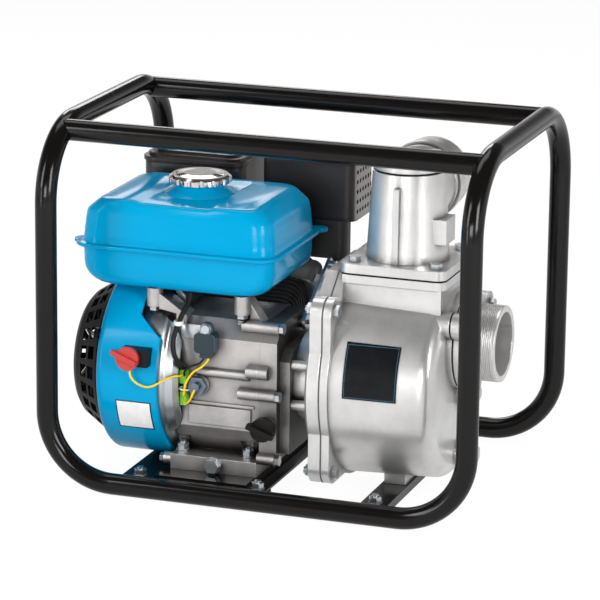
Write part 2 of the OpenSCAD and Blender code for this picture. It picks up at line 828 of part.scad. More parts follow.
module level_switch() {
    color("#8d9296") translate([level_x, 0, level_z]) {
        hex_y(front_y - 11, front_y - 4, 12);
        rod_y(front_y - 16, front_y - 11 + eps, 5);
        rod_y(front_y - 4 - eps, front_y + 12, level_r);
    }
}
module oil_alert_unit() {
    color("#8fa0a8") {
        translate([alert_x, front_y - alert_t, alert_z]) rotate([-90, 0, 0]) linear_extrude(alert_t)
            rounded(alert_w, alert_h, 5);
        for (z = alert_pins) {
            translate([alert_x, 0, alert_z + z]) rod_y(front_y - eps, front_y + 6, tank_bolt_r);
        }
        translate([alert_x + 1, 0, alert_z + 17]) {
            rod_y(front_y - alert_t + 4, front_y - alert_t + 8, 8);
            hex_y(front_y - alert_t, front_y - alert_t + 4 + eps, 5);
        }
        translate([alert_x - 7, front_y - alert_t + 3, alert_z - alert_h / 2 - 6]) cube([14, alert_t - 6, 7]);
    }
}
module oil_cap() {
    y0 = filler_y - oil_seal_t;
    color("#202224") translate([filler_x, 0, filler_z]) {
        rod_y(y0 - oil_cap_t, y0, oil_cap_r);
        rod_y(y0 - eps, filler_y + 10, filler_bore_r - gap);
        rod_y(filler_y + 9, filler_y + filler_depth - 6, 2.5);
        rotate([0, 20, 0]) translate([-oil_cap_r - 3, y0 - oil_cap_t - 8, -3])
            cube([2 * oil_cap_r + 6, 8 + eps, 6]);
    }
}
module oil_cap_seal() {
    color("#101010") translate([filler_x, 0, filler_z]) difference() {
        rod_y(filler_y - oil_seal_t, filler_y, filler_r - 0.5);
        rod_y(filler_y - oil_seal_t - 1, filler_y + 1, filler_bore_r - gap + run);
    }
}

// Cylinder, head and rocker cover, built along the bore
module along_bore() {
    translate([cyl_x, crank_y, crank_z]) rotate([cyl_tilt - 90, 0, 0]) children();
}
module engine_cylinder() {
    color("#2b2b2c") along_bore() {
        translate([0, 0, cyl_base]) linear_extrude(4) rounded(2 * cyl_half, 2 * cyl_half, 12);
        rod_z(cyl_base, cyl_len, barrel_r);
        for (i = [0:fin_count - 1]) {
            translate([0, 0, cyl_base + 6 + i * fin_pitch]) linear_extrude(fin_t)
                rounded(2 * fin_half_x, 2 * fin_half_y, 16);
        }
    }
}
plug_at = tilt_point(cyl_len + 12, 34);
module cylinder_head() {
    color("#8f8d8b") difference() {
        along_bore() translate([head_reach / 2, 0, cyl_len]) linear_extrude(head_len)
            rounded(2 * head_half_x + head_reach, 2 * head_half_y, 10);
        translate([0, plug_at[0], plug_at[1]]) rod_x(head_x1 - 14, head_x1 + 1, spark_r + gap);
    }
}
module rocker_cover() {
    color("#3a3a3c") along_bore() {
        translate([0, 0, cyl_len + head_len]) linear_extrude(5) rounded(2 * rocker_half_x, 2 * rocker_half_y, 8);
        translate([0, 0, cyl_len + head_len + 4]) linear_extrude(rocker_len - 4)
            rounded(2 * rocker_half_x - 8, 2 * rocker_half_y - 8, 12);
    }
}
module spark_plug() {
    color("#25262a") translate([0, plug_at[0], plug_at[1]]) {
        rod_x(head_x1 - 12, head_x1 + eps, spark_r);
        hex_x(head_x1, head_x1 + 8, 11);
        rod_x(head_x1 + 7, head_x1 + 24, 6);
        rod_x(head_x1 + 16, head_x1 + 40, 9);
    }
}

// Cooling fan, crankshaft and starter, turned about the crankshaft
module on_crank(x) {
    translate([x, crank_y, crank_z]) rotate([0, 90, 0]) children();
}
module boss_notch(x0, x1) {
    xz(crank_y - fan_r - 1, notch_y - crank_y + fan_r + 1) polygon([[x0, crank_z + fan_r + 1],
        [x0, notch_z], [x1, notch_z - notch_slope * (x1 - x0)], [x1, crank_z + fan_r + 1]]);
}
module side_plate() {
    color("#d3d5d6") difference() {
        union() {
            on_crank(fan_x1) rotate_extrude() polygon([[journal_r + 2, 0], [plate_r, 0], [plate_r, 3],
                [plate_r - 6, plate_t], [journal_r + 2, plate_t]]);
            intersection() {
                on_crank(fan_x1) rotate_extrude() polygon([[plate_r - 10, 4], [plate_r - 3, 4],
                    [plate_r - 2.5, 8], [plate_r - 6, 16], [plate_r - 12, plate_lip],
                    [plate_r - 15, plate_lip], [plate_r - 11, 14]]);
                translate([fan_x1, crank_y - fan_r, crank_z - lip_half])
                    cube([plate_lip + 1, fan_r - case_front - 2, 2 * lip_half]);
            }
        }
        boss_notch(fan_x1 - 1, case_x0 + 1);
    }
}
module drum_2d(r, h, c) {
    square([r - c, h]);
    translate([0, c]) square([r, h - c]);
    translate([r - c, c]) circle(r = c);
}
// Drum and rear duct of the fan cover, open toward the crankcase
module fan_shell() {
    difference() {
        union() {
            on_crank(fan_x0) rotate_extrude() drum_2d(fan_r, fan_depth, fan_round);
            yz(fan_x0, fan_depth) polygon([[crank_y, crank_z + duct_low], [crank_y, crank_z + duct_up],
                [crank_y + duct_back, crank_z + duct_up], [crank_y + duct_back, crank_z + duct_end_low]]);
        }
        on_crank(fan_x0 + shell_t) rotate_extrude() drum_2d(fan_r - shell_t, fan_depth, fan_round - shell_t);
        on_crank(fan_x0 - 1) cylinder(h = shell_t + 2, r = fan_open_r);
        yz(fan_x0 + shell_t, fan_depth) polygon([[crank_y, crank_z + duct_low + 2 * shell_t],
            [crank_y, crank_z + duct_up - shell_t],
            [crank_y + duct_back - shell_t, crank_z + duct_up - shell_t],
            [crank_y + duct_back - shell_t, crank_z + duct_end_low + 2 * shell_t]]);
    }
}
module fan_cover() {
    color("#0a8fc8") difference() {
        union() {
            fan_shell();
            on_crank(fan_x1 - cover_seat - eps) rotate_extrude() translate([plate_r - 4, 0])
                square([fan_r - plate_r + 4 - shell_t / 2, cover_seat]);
        }
        boss_notch(notch_x, fan_x1 + 1);
        for (a = recoil_lugs) {
            lug_turn(a) rod_x(fan_x0 - 1, fan_x0 + shell_t + 1, lug_bolt_r + gap);
        }
    }
}
// Carries its child from the front of the starter to the angle a about the crankshaft
module lug_turn(a) {
    translate([0, crank_y, crank_z]) rotate([a, 0, 0]) translate([0, -recoil_lug_at, 0]) children();
}
module crankshaft() {
    color("#9a9ca0") translate([0, crank_y, crank_z]) {
        rod_x(wheel_x0, journal_x + eps, nose_r);
        rod_x(journal_x, pad_x, journal_r);
        rod_x(pad_x - eps, impeller_x1 + 10, shaft_r);
        hex_x(impeller_x1, impeller_x1 + 8, shaft_r + 3);
    }
}
module flywheel() {
    color("#6d6f72") difference() {
        union() {
            on_crank(wheel_x0) cylinder(h = journal_x - wheel_x0, r = hub_r);
            on_crank(wheel_x1 - wheel_t) cylinder(h = wheel_t, r = wheel_r);
            for (i = [0:blade_count - 1]) {
                on_crank(wheel_x0 + 2) rotate([0, 0, i * 360 / blade_count])
                    translate([hub_r + 15, -1.5, 0]) cube([wheel_r - hub_r - 17, 3, wheel_x1 - wheel_x0 - wheel_t]);
            }
        }
        on_crank(wheel_x0 - 1) cylinder(h = journal_x - wheel_x0 + 2, r = nose_r + run);
    }
}
module starter_cup() {
    color("#55575a") difference() {
        on_crank(cup_x) cylinder(h = wheel_x0 - cup_x, r = cup_r);
        on_crank(cup_x - 1) cylinder(h = wheel_x0 - cup_x - 2, r = cup_r - 3);
    }
}
module recoil_housing() {
    d = recoil_depth;
    w = recoil_t;
    color("#1b1c1e") difference() {
        union() {
            difference() {
                translate([recoil_x, crank_y, crank_z]) rotate([0, -90, 0]) difference() {
                    rotate_extrude() polygon([[0, d - w], [recoil_face_r - recoil_round - 1, d - w],
                        [recoil_face_r - w, d - recoil_round], [recoil_base_r - w, w + 1],
                        [recoil_base_r - w, 0], [recoil_base_r, 0], [recoil_base_r, w + 1],
                        [recoil_face_r, d - recoil_round + 1], [recoil_face_r - recoil_round, d], [0, d]]);
                    for (i = [0:recoil_slots - 1], z = slot_rows) {
                        rotate([0, 0, i * 360 / recoil_slots]) translate([recoil_face_r - 16, -slot_w / 2, z])
                            cube([44, slot_w, slot_h]);
                    }
                    for (i = [0:recoil_slots - 1]) {
                        rotate([0, 0, i * 360 / recoil_slots]) translate([34, -face_slot_w / 2, d - w - 1])
                            cube([recoil_face_r - 48, face_slot_w, w + 2]);
                    }
                }
            }
            translate([0, crank_y, crank_z]) rod_x(recoil_face + w - eps, cup_x - 2, post_r);
            translate([rope_x, 0, rope_z]) rod_y(guide_y0, guide_y1, guide_r);
            for (a = recoil_lugs) {
                lug_turn(a) rod_x(recoil_x - recoil_lug_t, recoil_x, recoil_lug_r);
            }
        }
        translate([rope_x, 0, rope_z]) rod_y(guide_y0 - 1, guide_y1 + 1, rope_r + 2 * gap);
        for (a = recoil_lugs) {
            lug_turn(a) rod_x(recoil_x - recoil_lug_t - 1, recoil_x + 1, lug_bolt_r + gap);
        }
    }
}
module starter_reel() {
    half = groove_w / 2 + reel_wall;
    color("#3c3d40") difference() {
        on_crank(rope_x - half) rotate_extrude() polygon([[post_r + run, 0], [reel_rim, 0],
            [reel_rim, reel_wall], [reel_r - rope_r - gap, reel_wall],
            [reel_r - rope_r - gap, reel_wall + groove_w], [reel_rim, reel_wall + groove_w],
            [reel_rim, 2 * half], [post_r + run, 2 * half]]);
        for (i = [0:2]) {
            on_crank(rope_x - half - 1) rotate([0, 0, i * 120]) translate([25, 0, 0])
                cylinder(h = 2 * half + 2, r = 6);
        }
    }
}
module starter_rope() {
    color("#e8e6df") translate([rope_x, 0, rope_z]) rod_y(crank_y, grip_y + 10, rope_r);
}
module starter_handle() {
    color("#202124") difference() {
        translate([rope_x, grip_y + grip_d / 2, rope_z - grip_len / 2]) linear_extrude(grip_len)
            rounded(grip_t, grip_d, 7);
        translate([rope_x, 0, rope_z]) rod_y(grip_y - 1, grip_y + 12, rope_r + gap);
    }
}
module switch_body() {
    color("#1d1e20") difference() {
        translate([switch_x - switch_left, switch_y, switch_z - switch_h / 2])
            cube([switch_w, fan_r / 3, switch_h]);
        translate([0, crank_y, crank_z]) rod_x(fan_x0 - 1, case_x0, fan_r + gap);
        translate([switch_x, 0, switch_z]) rod_y(switch_y - 1, switch_y + 9, knob_pin_r + run);
    }
}
module switch_knob() {
    y1 = switch_y - gap;
    color("#c3242b") translate([switch_x, 0, switch_z]) {
        rod_y(y1 - 5, y1, knob_r);
        rod_y(y1 - eps, switch_y + 8, knob_pin_r);
        rotate([0, 22, 0]) translate([-knob_r - 6, y1 - knob_t, -3]) cube([2 * knob_r + 5, knob_t - 4, 6]);
    }
}

// Fuel tank
neck_x = tank_x;
neck_y = tank_y + 3;
low_skin = [[52, 14, 26, 0], [26, 7, 31, 5], [8, 2, 33, 16], [1, 1, 34, 30], [0, 0, 34, tank_low_h]];
top_skin = [[0, 0, 34, 0], [3, 3, 33, tank_top_h * 0.45], [9, 6, 32, tank_top_h * 0.74],
    [20, 11, 30, tank_top_h * 0.92], [46, 22, 26, tank_top_h]];
function skin_rings(rows, z, t, up) = [for (s = rows)
    corner_ring(tank_l - s[0] - 2 * t, tank_w - s[1] - 2 * t, s[2] - t, z + s[3] + up)];
module seam_flange(z) {
    translate([tank_x, tank_y, z]) linear_extrude(seam_t)
        rounded(tank_l + 2 * seam_w, tank_w + 2 * seam_w, 38);
    for (e = ears) {
        translate([e[0], e[1], 0]) rod_z(z, z + seam_t, ear_r);
    }
}
module tank_lower() {
    color("#0a8fc8") difference() {
        union() {
            loft(skin_rings(low_skin, tank_z, 0, 0));
            seam_flange(seam_z - seam_t);
        }
        difference() {
            loft(skin_rings(low_skin, tank_z, tank_t, tank_t));
            translate([0, crank_y, crank_z]) rod_x(fan_x0 - 30, case_x0 + 8, fan_r + fan_room + tank_t);
        }
        translate([0, crank_y, crank_z]) rod_x(fan_x0 - 40, case_x0 + 5, fan_r + fan_room);
    }
}
module tank_upper() {
    color("#0a8fc8") difference() {
        union() {
            loft(skin_rings(top_skin, seam_z, 0, 0));
            seam_flange(seam_z);
            translate([neck_x, neck_y, tank_top_z - 4]) cylinder(h = neck_h, r1 = neck_base_r + 3, r2 = neck_r);
            translate([neck_x, neck_y, 0]) rod_z(cap_z - 5, cap_z, neck_r);
        }
        loft(skin_rings(top_skin, seam_z, tank_t, -tank_t));
        translate([neck_x, neck_y, 0]) rod_z(tank_top_z - 10, cap_z + 1, neck_bore / 2);
    }
}
module fuel_cap_gasket() {
    color("#151515") translate([neck_x, neck_y, 0]) difference() {
        rod_z(cap_z, cap_z + cap_gasket_t, neck_r);
        rod_z(cap_z - 1, cap_z + cap_gasket_t + 1, neck_bore / 2 - 0.5);
    }
}
module fuel_cap() {
    z0 = cap_z + cap_gasket_t;
    color("#d9dcde") translate([neck_x, neck_y, 0]) difference() {
        union() {
            rod_z(z0 - cap_skirt, z0 + cap_h - 2, cap_r);
            translate([0, 0, z0 + cap_h - 2 - eps]) cylinder(h = 3, r1 = cap_r, r2 = cap_r - 4);
            translate([0, 0, z0 + cap_h + 1 - 2 * eps]) cylinder(h = 1.2, r1 = cap_r - 8, r2 = cap_r - 18);
        }
        difference() {
            rod_z(z0 - cap_skirt - 1, z0, neck_r + gap);
            rod_z(z0 - cap_skirt - 2, z0 + 1, neck_bore / 2 - 0.5 - gap);
        }
        for (i = [0:cap_flutes - 1]) {
            rotate([0, 0, i * 360 / cap_flutes]) translate([cap_r + 2, 0, 0])
                rod_z(z0 - cap_skirt - 1, z0 + cap_h + 4, 3.6);
        }
    }
}

// Carburettor, air cleaner and muffler
lever_y = carb_y + carb_w / 2;
choke_in = 12;
choke_up = 10;
fuel_in = 34;
fuel_down = 9;
choke_at = [carb_x0 + choke_in, carb_z + choke_up];
fuel_at = [carb_x0 + fuel_in, carb_z - fuel_down];
module carburettor() {
    neck_at = carb_x0 + 24;
    color("#8b8d90") {
        translate([carb_x0, carb_y - carb_w / 2, carb_z - carb_half])
            cube([head_x0 - carb_x0, carb_w, 2 * carb_half]);
        translate([neck_at, carb_y, 0]) rod_z(carb_z + carb_half - eps, air_z0, air_pipe_r - 3);
        translate([neck_at, carb_y, 0]) rod_z(carb_z - carb_half - bowl_h, carb_z - carb_half + eps, bowl_r);
        for (p = [choke_at, fuel_at]) {
            translate([p[0], 0, p[1]]) rod_y(lever_y - eps, lever_y + lever_t + 2, lever_pin_r);
        }
    }
}
module small_lever(p, turn) {
    difference() {
        translate([p[0], 0, p[1]]) rotate([0, turn, 0]) {
            rod_y(lever_y + gap, lever_y + gap + lever_t, lever_r);
            translate([-lever_len, lever_y + gap, -lever_r / 2]) cube([lever_len, lever_t, lever_r]);
            translate([-lever_len, lever_y + gap, -lever_r / 2]) cube([6, lever_t + 6, lever_r]);
        }
        translate([p[0], 0, p[1]]) rod_y(lever_y - 1, lever_y + lever_t + 9, lever_pin_r + run);
    }
}
module choke_lever() {
    color("#1f2022") small_lever(choke_at, 0);
}
module fuel_lever() {
    color("#8a2a2a") small_lever(fuel_at, -90);
}
module throttle_lever() {
    x0 = cover_x + 3 + gap;
    tip = [throttle_y + throttle_len, throttle_z + throttle_rise];
    color("#3f4144") difference() {
        union() {
            yz(x0, throttle_t) {
                translate([throttle_y, throttle_z]) circle(r = 9);
                polygon([[throttle_y + 3, throttle_z - 8], tip - [0, 9], tip + [6, 4], tip + [0, 8],
                    [throttle_y - 4, throttle_z + 8]]);
            }
            translate([0, tip[0] - 3, tip[1]]) rod_x(x0, x0 + 12, 5);
        }
        translate([0, throttle_y, throttle_z]) rod_x(x0 - 1, x0 + throttle_t + 1, lever_pin_r + run);
    }
}
air_mid = [air_x0 + air_l / 2, air_y0 + air_w / 2];
module air_cleaner_case() {
    color("#202123") difference() {
        translate([air_mid[0], air_mid[1], air_z0]) linear_extrude(air_h) rounded(air_l, air_w, 16);
        translate([air_mid[0], air_mid[1], air_z0 + air_wall]) linear_extrude(air_h)
            rounded(air_l - 2 * air_wall, air_w - 2 * air_wall, 16 - air_wall);
    }
}
module air_cleaner_cover() {
    z0 = air_z0 + air_h;
    color("#1b1c1e") translate([air_mid[0], air_mid[1], 0]) {
        translate([0, 0, z0]) linear_extrude(5) rounded(air_l + 4, air_w + 4, 18);
        translate([0, 0, z0 + 5 - eps]) linear_extrude(4) rounded(air_l - 6, air_w - 6, 16);
        translate([0, 0, z0 + 9 - 2 * eps]) linear_extrude(air_cover_h - 9 + 2 * eps)
            rounded(air_l - 22, air_w - 22, 14);
    }
}
guard_mid = [guard_x0 + guard_l / 2, guard_y0 + guard_w / 2];
module muffler() {
    z0 = guard_z0 + muffler_in;
    top = guard_z0 + guard_h - guard_t;
    color("#6a6460") {
        translate([guard_mid[0], guard_mid[1], z0]) linear_extrude(guard_h - 2 * muffler_in)
            rounded(guard_l - 2 * guard_t - 2 * muffler_in, guard_w - 2 * guard_t - 2 * muffler_in, 18);
        for (s = [-1, 1]) {
            translate([guard_mid[0] + s * guard_l / 4, guard_mid[1], 0]) rod_z(z0 + 1, top, 6);
        }
        translate([exhaust_x + exhaust_r + 2 - muffler_neck_w / 2, exhaust_y, port_z + muffler_neck_up])
            linear_extrude(z0 + 1 - port_z - muffler_neck_up) rounded(muffler_neck_w, muffler_neck_d, 10);
        translate([exhaust_x, exhaust_y, 0]) rod_z(port_z, z0 + 1, exhaust_r);
        translate([exhaust_x, exhaust_y, port_z]) sphere(r = exhaust_r);
        translate([0, exhaust_y, port_z]) rod_x(head_x1, exhaust_x, exhaust_r);
    }
}
module muffler_guard() {
    color("#3b3c3e") difference() {
        translate([guard_mid[0], guard_mid[1], guard_z0]) linear_extrude(guard_h) rounded(guard_l, guard_w, 12);
        translate([guard_mid[0], guard_mid[1], guard_z0 - guard_t]) linear_extrude(guard_h)
            rounded(guard_l - 2 * guard_t, guard_w - 2 * guard_t, 12 - guard_t);
        for (i = [0:guard_holes - 1], j = [0:guard_rows - 1]) {
            translate([0, guard_mid[1] + (i - (guard_holes - 1) / 2) * 10, guard_z0 + guard_h / 2
                + (j - (guard_rows - 1) / 2) * 12]) rod_x(guard_x1 - guard_t - 1, guard_x1 + 1, 2.8);
        }
    }
}

// Engine wires
engine_at = [engine_x, crank_y, crank_z];
module wire_sleeve() {
    color("#161616") wire([for (p = sleeve_path) p + engine_at], sleeve_r, [1, 0, 0]);
}
module wire_yellow() {
    color("#e3c52a") wire([for (p = yellow_path) p + engine_at], wire_r, [1, -1, 0]);
}
module wire_connectors() {
    color("#3f9a6a") for (i = [0:len(link_at) - 1]) {
        c = link_at[i];
        translate([engine_x + c[0] - 4, front_y - 9, crank_z + c[1] - 8]) cube([8, 9, 16]);
        if (i < len(link_at) - 1) {
            translate([engine_x + c[0], front_y - 4.5, 0])
                rod_z(crank_z + link_at[i + 1][1] + 7, crank_z + c[1] - 7, wire_r);
        }
    }
}

// Pump
module on_casing(x) {
    translate([x, crank_y, casing_z]) rotate([0, 90, 0]) children();
}
joint_bolts = [for (sy = [-1, 1], sz = [-1, 1]) [crank_y + sy * joint_bolt, casing_z + sz * joint_bolt]];
module joint_2d() {
    h = joint_half;
    c = joint_half - joint_corner;
    translate([crank_y, casing_z]) {
        polygon([[-h, -c], [-c, -h], [c, -h], [h, -c], [h, c], [roof_side, roof_low], [roof_half, roof_up],
            [-roof_half, roof_up], [-roof_side, roof_low], [-h, c]]);
        circle(r = joint_r);
        for (sx = [-1, 1], sy = [-1, 1]) {
            translate([sx * c, sy * c]) circle(r = joint_corner);
        }
    }
}
module joint_holes(x0, x1) {
    for (p = joint_bolts) {
        translate([0, p[0], p[1]]) rod_x(x0, x1, hole_r);
    }
}
module pump_adapter() {
    x0 = joint_x - adapter_flange_t;
    color("#b9babb") difference() {
        union() {
            on_crank(pad_x) cylinder(h = adapter_len - adapter_flange_t, r = adapter_r);
            on_crank(x0 - dish_t) cylinder(h = dish_t + eps, r1 = dish_r - 12, r2 = dish_r);
            for (p = adapter_studs) {
                translate([0, crank_y + p[0], crank_z + p[1]]) rod_x(pad_x, x0 + 1, stud_r);
            }
            yz(x0, adapter_flange_t) joint_2d();
        }
        on_crank(pad_x - 1) cylinder(h = 30, r = adapter_r - 14);
        on_crank(pad_x) cylinder(h = adapter_len + 1, r = shaft_r + 2);
        on_crank(joint_x - seal_t) cylinder(h = seal_t + 1, r = seal_r + run);
        joint_holes(x0 - 1, joint_x + 1);
    }
}
module shaft_seal() {
    color("#3a3a3a") difference() {
        on_crank(joint_x - seal_t) cylinder(h = seal_t, r = seal_r);
        on_crank(joint_x - seal_t - 1) cylinder(h = seal_t + 2, r = shaft_r + run);
    }
}
module pump_gasket() {
    color("#141414") difference() {
        yz(joint_x, gasket_t) joint_2d();
        on_casing(joint_x - 1) cylinder(h = gasket_t + 2, r = casing_r - cast_t);
        joint_holes(joint_x - 1, casing_x + 1);
    }
}
module casing_2d(t) {
    r0 = casing_r - t;
    r1 = casing_end_r - t;
    c = casing_round - t;
    h = casing_len - t;
    polygon([[0, -t / 4], [r0, -t / 4], [r1, h - c], [r1 - c, h], [0, h]]);
    translate([r1 - c, h - c]) circle(r = c);
}
top_bolts = [for (sx = [-1, 1], sy = [-1, 1]) [riser_x + sx * top_bolt, crank_y + sy * top_bolt]];
module suction_2d() {
    translate([crank_y, suction_z]) {
        circle(r = lug_disc_r);
        for (a = lug_angles) {
            rotate([0, 0, a]) {
                translate([lug_at, 0]) circle(r = lug_r);
                translate([0, -lug_r]) square([lug_at, 2 * lug_r]);
            }
        }
    }
}
module suction_holes(x0, x1) {
    for (a = lug_angles) {
        translate([0, crank_y + lug_at * cos(a), suction_z + lug_at * sin(a)]) rod_x(x0, x1, hole_r);
    }
}
module pump_casing() {
    plate = 12;
    color("#b9babb") difference() {
        union() {
            yz(casing_x, casing_flange_t) joint_2d();
            on_casing(casing_x) rotate_extrude() casing_2d(0);
            translate([riser_x - neck_half_x, crank_y - neck_half_y, casing_z])
                cube([2 * neck_half_x, 2 * neck_half_y, casing_top - casing_z]);
            translate([riser_x, crank_y, casing_top - 10]) linear_extrude(10)
                rounded(2 * top_half, 2 * top_half, 12);
            translate([riser_x - pump_foot_w / 2, crank_y - pump_foot_half, flange_z])
                cube([pump_foot_w, 2 * pump_foot_half, 40]);
            yz(casing_end - 24, 24 + suction_boss) suction_2d();
            translate([0, crank_y, crank_z + drain_up]) rod_x(casing_end - 20, plug_x, drain_boss_r);
        }
        on_casing(casing_x) rotate_extrude() casing_2d(cast_t);
        translate([riser_x - neck_half_x + cast_t, crank_y - neck_half_y + cast_t, casing_z])
            cube([2 * (neck_half_x - cast_t), 2 * (neck_half_y - cast_t), casing_top - plate - casing_z]);
        translate([riser_x, crank_y, 0]) rod_z(casing_z, casing_top + 1, riser_r - 6);
        for (p = top_bolts) {
            translate([p[0], p[1], 0]) rod_z(casing_top - plate + 1, casing_top + 1, hole_r);
        }
        joint_holes(casing_x - 1, casing_x + casing_flange_t + 1);
        translate([0, crank_y, suction_z]) rod_x(casing_end - 30, suction_seat + 1, flap_room_r);
        suction_holes(suction_seat - 12, suction_seat + 1);
        translate([0, crank_y, crank_z + drain_up]) rod_x(casing_end - 20, plug_x + 1, plug_r + gap);
        for (s = [-1, 1]) {
            translate([riser_x, crank_y + s * pump_foot_bolt, 0]) rod_z(flange_z - 1, flange_z + 15, hole_r);
        }
    }
}
module pump_bolts() {
    x0 = joint_x - adapter_flange_t;
    x1 = casing_x + casing_flange_t;
    color("#cfd2d6") {
        for (p = joint_bolts) {
            translate([0, p[0], p[1]]) {
                hex_x(x1, x1 + head_h + 2, nut_r);
                rod_x(x0 - nut_h - bolt_over, x1 + eps, bolt_r);
                hex_x(x0 - nut_h, x0, nut_r);
            }
        }
        for (p = top_bolts) {
            translate([p[0], p[1], 0]) {
                hex_z(riser_z, riser_z + head_h + 2, nut_r);
                rod_z(casing_top - 10, riser_z + eps, bolt_r);
            }
        }
        for (a = lug_angles) {
            translate([0, crank_y + lug_at * cos(a), suction_z + lug_at * sin(a)]) {
                hex_x(suction_face, suction_face + head_h + 2, nut_r);
                rod_x(suction_seat - 11, suction_face + eps, bolt_r);
            }
        }
        for (s = [-1, 1]) {
            translate([riser_x, crank_y + s * pump_foot_bolt, 0]) {
                hex_z(flange_z - sheet_t - head_h, flange_z - sheet_t, nut_r);
                rod_z(flange_z - sheet_t - eps, flange_z + 14, bolt_r);
            }
        }
    }
}
module impeller() {
    color("#8c8a86") on_crank(impeller_x0) difference() {
        union() {
            cylinder(h = impeller_disc, r = impeller_r);
            cylinder(h = impeller_x1 - impeller_x0, r = impeller_hub_r);
            for (i = [0:vane_count - 1]) {
                rotate([0, 0, i * 360 / vane_count]) translate([0, 0, impeller_disc - 1])
                    linear_extrude(impeller_x1 - impeller_x0 - impeller_disc) intersection() {
                    difference() {
                        circle(r = impeller_r - 1);
                        circle(r = impeller_hub_r - 9);
                    }
                    translate([vane_bend - 12, 0]) difference() {
                        circle(r = vane_bend + vane_t / 2);
                        circle(r = vane_bend - vane_t / 2);
                    }
                    translate([-impeller_r, -2 * impeller_r]) square(2 * impeller_r);
                }
            }
        }
        translate([0, 0, -1]) cylinder(h = impeller_x1 - impeller_x0 + 2, r = shaft_r + run);
    }
}
module volute() {
    color("#a5a39f") difference() {
        on_crank(joint_x) cylinder(h = volute_x1 - joint_x, r = volute_r);
        on_crank(joint_x - 1) cylinder(h = volute_x1 - joint_x - 5, r = impeller_r + 4);
        on_crank(joint_x) cylinder(h = volute_x1 - joint_x + 1, r = eye_r);
        translate([joint_x + 6, crank_y + impeller_r - 16, crank_z])
            cube([volute_x1 - joint_x - 12, 26, volute_r + 1]);
    }
}
module suction_gasket() {
    color("#141414") difference() {
        yz(suction_seat, gasket_t) suction_2d();
        translate([0, crank_y, suction_z]) rod_x(suction_seat - 1, suction_x + 1, flap_room_r);
        suction_holes(suction_seat - 1, suction_x + 1);
    }
}
module suction_flange() {
    color("#b9babb") difference() {
        union() {
            yz(suction_x, suction_flange_t) suction_2d();
            translate([0, crank_y, suction_z]) rod_x(suction_x, suction_face + thread_len, thread_r);
            for (s = [-1, 1]) {
                translate([flap_pin_x - 5, crank_y + s * ear_at - 2, flap_pin_z - 5])
                    cube([suction_x - flap_pin_x + 6, 4, 8.5]);
            }
            translate([flap_pin_x, 0, flap_pin_z]) rod_y(crank_y - ear_at, crank_y + ear_at, flap_pin_r);
        }
        translate([0, crank_y, suction_z]) rod_x(suction_x - 1, suction_face + thread_len + 1, port_r);
        suction_holes(suction_x - 1, suction_face + 1);
    }
}
module suction_flap() {
    x1 = suction_x - gap;
    color("#2a2a2a") difference() {
        union() {
            difference() {
                translate([0, crank_y, suction_z]) rod_x(x1 - flap_t, x1, flap_r);
                translate([x1 - flap_t - 1, crank_y - flap_r, flap_pin_z - 8])
                    cube([flap_t + 2, 2 * flap_r, flap_r]);
            }
            translate([flap_pin_x - 2, crank_y - flap_ear, flap_pin_z - 22]) cube([5, 2 * flap_ear, 22]);
            translate([flap_pin_x, 0, flap_pin_z]) rod_y(crank_y - flap_ear, crank_y + flap_ear, 5);
        }
        translate([flap_pin_x, 0, flap_pin_z])
            rod_y(crank_y - flap_ear - 1, crank_y + flap_ear + 1, flap_pin_r + run);
    }
}
module elbow_gasket() {
    color("#141414") difference() {
        translate([riser_x, crank_y, casing_top]) linear_extrude(gasket_t) rounded(2 * top_half, 2 * top_half, 12);
        translate([riser_x, crank_y, 0]) rod_z(casing_top - 1, elbow_z + 1, riser_r - 6);
        for (p = top_bolts) {
            translate([p[0], p[1], 0]) rod_z(casing_top - 1, elbow_z + 1, hole_r);
        }
    }
}
module discharge_elbow() {
    y_cap = crank_y + prime_cap_r + 1;
    y_end = crank_y + branch_reach;
    color("#b9babb") difference() {
        union() {
            translate([riser_x, crank_y, elbow_z]) linear_extrude(elbow_flange_t)
                rounded(2 * top_half, 2 * top_half, 12);
            translate([riser_x, crank_y, riser_z - eps]) cylinder(h = riser_h + eps, r1 = riser_r, r2 = riser_top_r);
            translate([riser_x - fin_w / 2, crank_y - fin_reach, riser_z - eps])
                cube([fin_w, fin_reach - riser_top_r + 8, riser_h - 14]);
            difference() {
                translate([riser_x, 0, branch_z]) rod_y(crank_y, y_end, riser_top_r);
                translate([riser_x - riser_r, crank_y - 1, prime_z])
                    cube([2 * riser_r, y_cap - crank_y + 1, riser_r]);
            }
            translate([riser_x, 0, branch_z]) {
                rod_y(crank_y + bead_at, crank_y + bead_at + bead_t, bead_r);
                rod_y(y_end - collar_t, y_end, collar_r);
                rod_y(y_end - 1, y_end + thread_len, thread_r);
            }
            translate([riser_x + 30, crank_y - 26, riser_z + 22]) cube([pad_w, pad_d, pad_h]);
        }
        translate([riser_x, crank_y, 0]) rod_z(elbow_z - 1, prime_z - 6, riser_r - 12);
        translate([riser_x, crank_y, 0]) rod_z(branch_z, prime_z + 1, prime_bore_r);
        translate([riser_x, 0, branch_z]) {
            rod_y(crank_y, crank_y + 36 + eps, passage_r);
            translate([0, crank_y + 36, 0]) rotate([-90, 0, 0]) cylinder(h = 18, r1 = passage_r, r2 = port_r);
            rod_y(crank_y + 54 - eps, y_end + thread_len + 1, port_r);
        }
        for (p = top_bolts) {
            translate([p[0], p[1], 0]) rod_z(elbow_z - 1, riser_z + 1, hole_r);
        }
    }
}
module prime_cap_seal() {
    color("#151515") translate([riser_x, crank_y, 0]) difference() {
        rod_z(prime_z, prime_z + prime_seal_t, prime_cap_r - 4);
        rod_z(prime_z - 1, prime_z + prime_seal_t + 1, prime_bore_r - gap + run);
    }
}
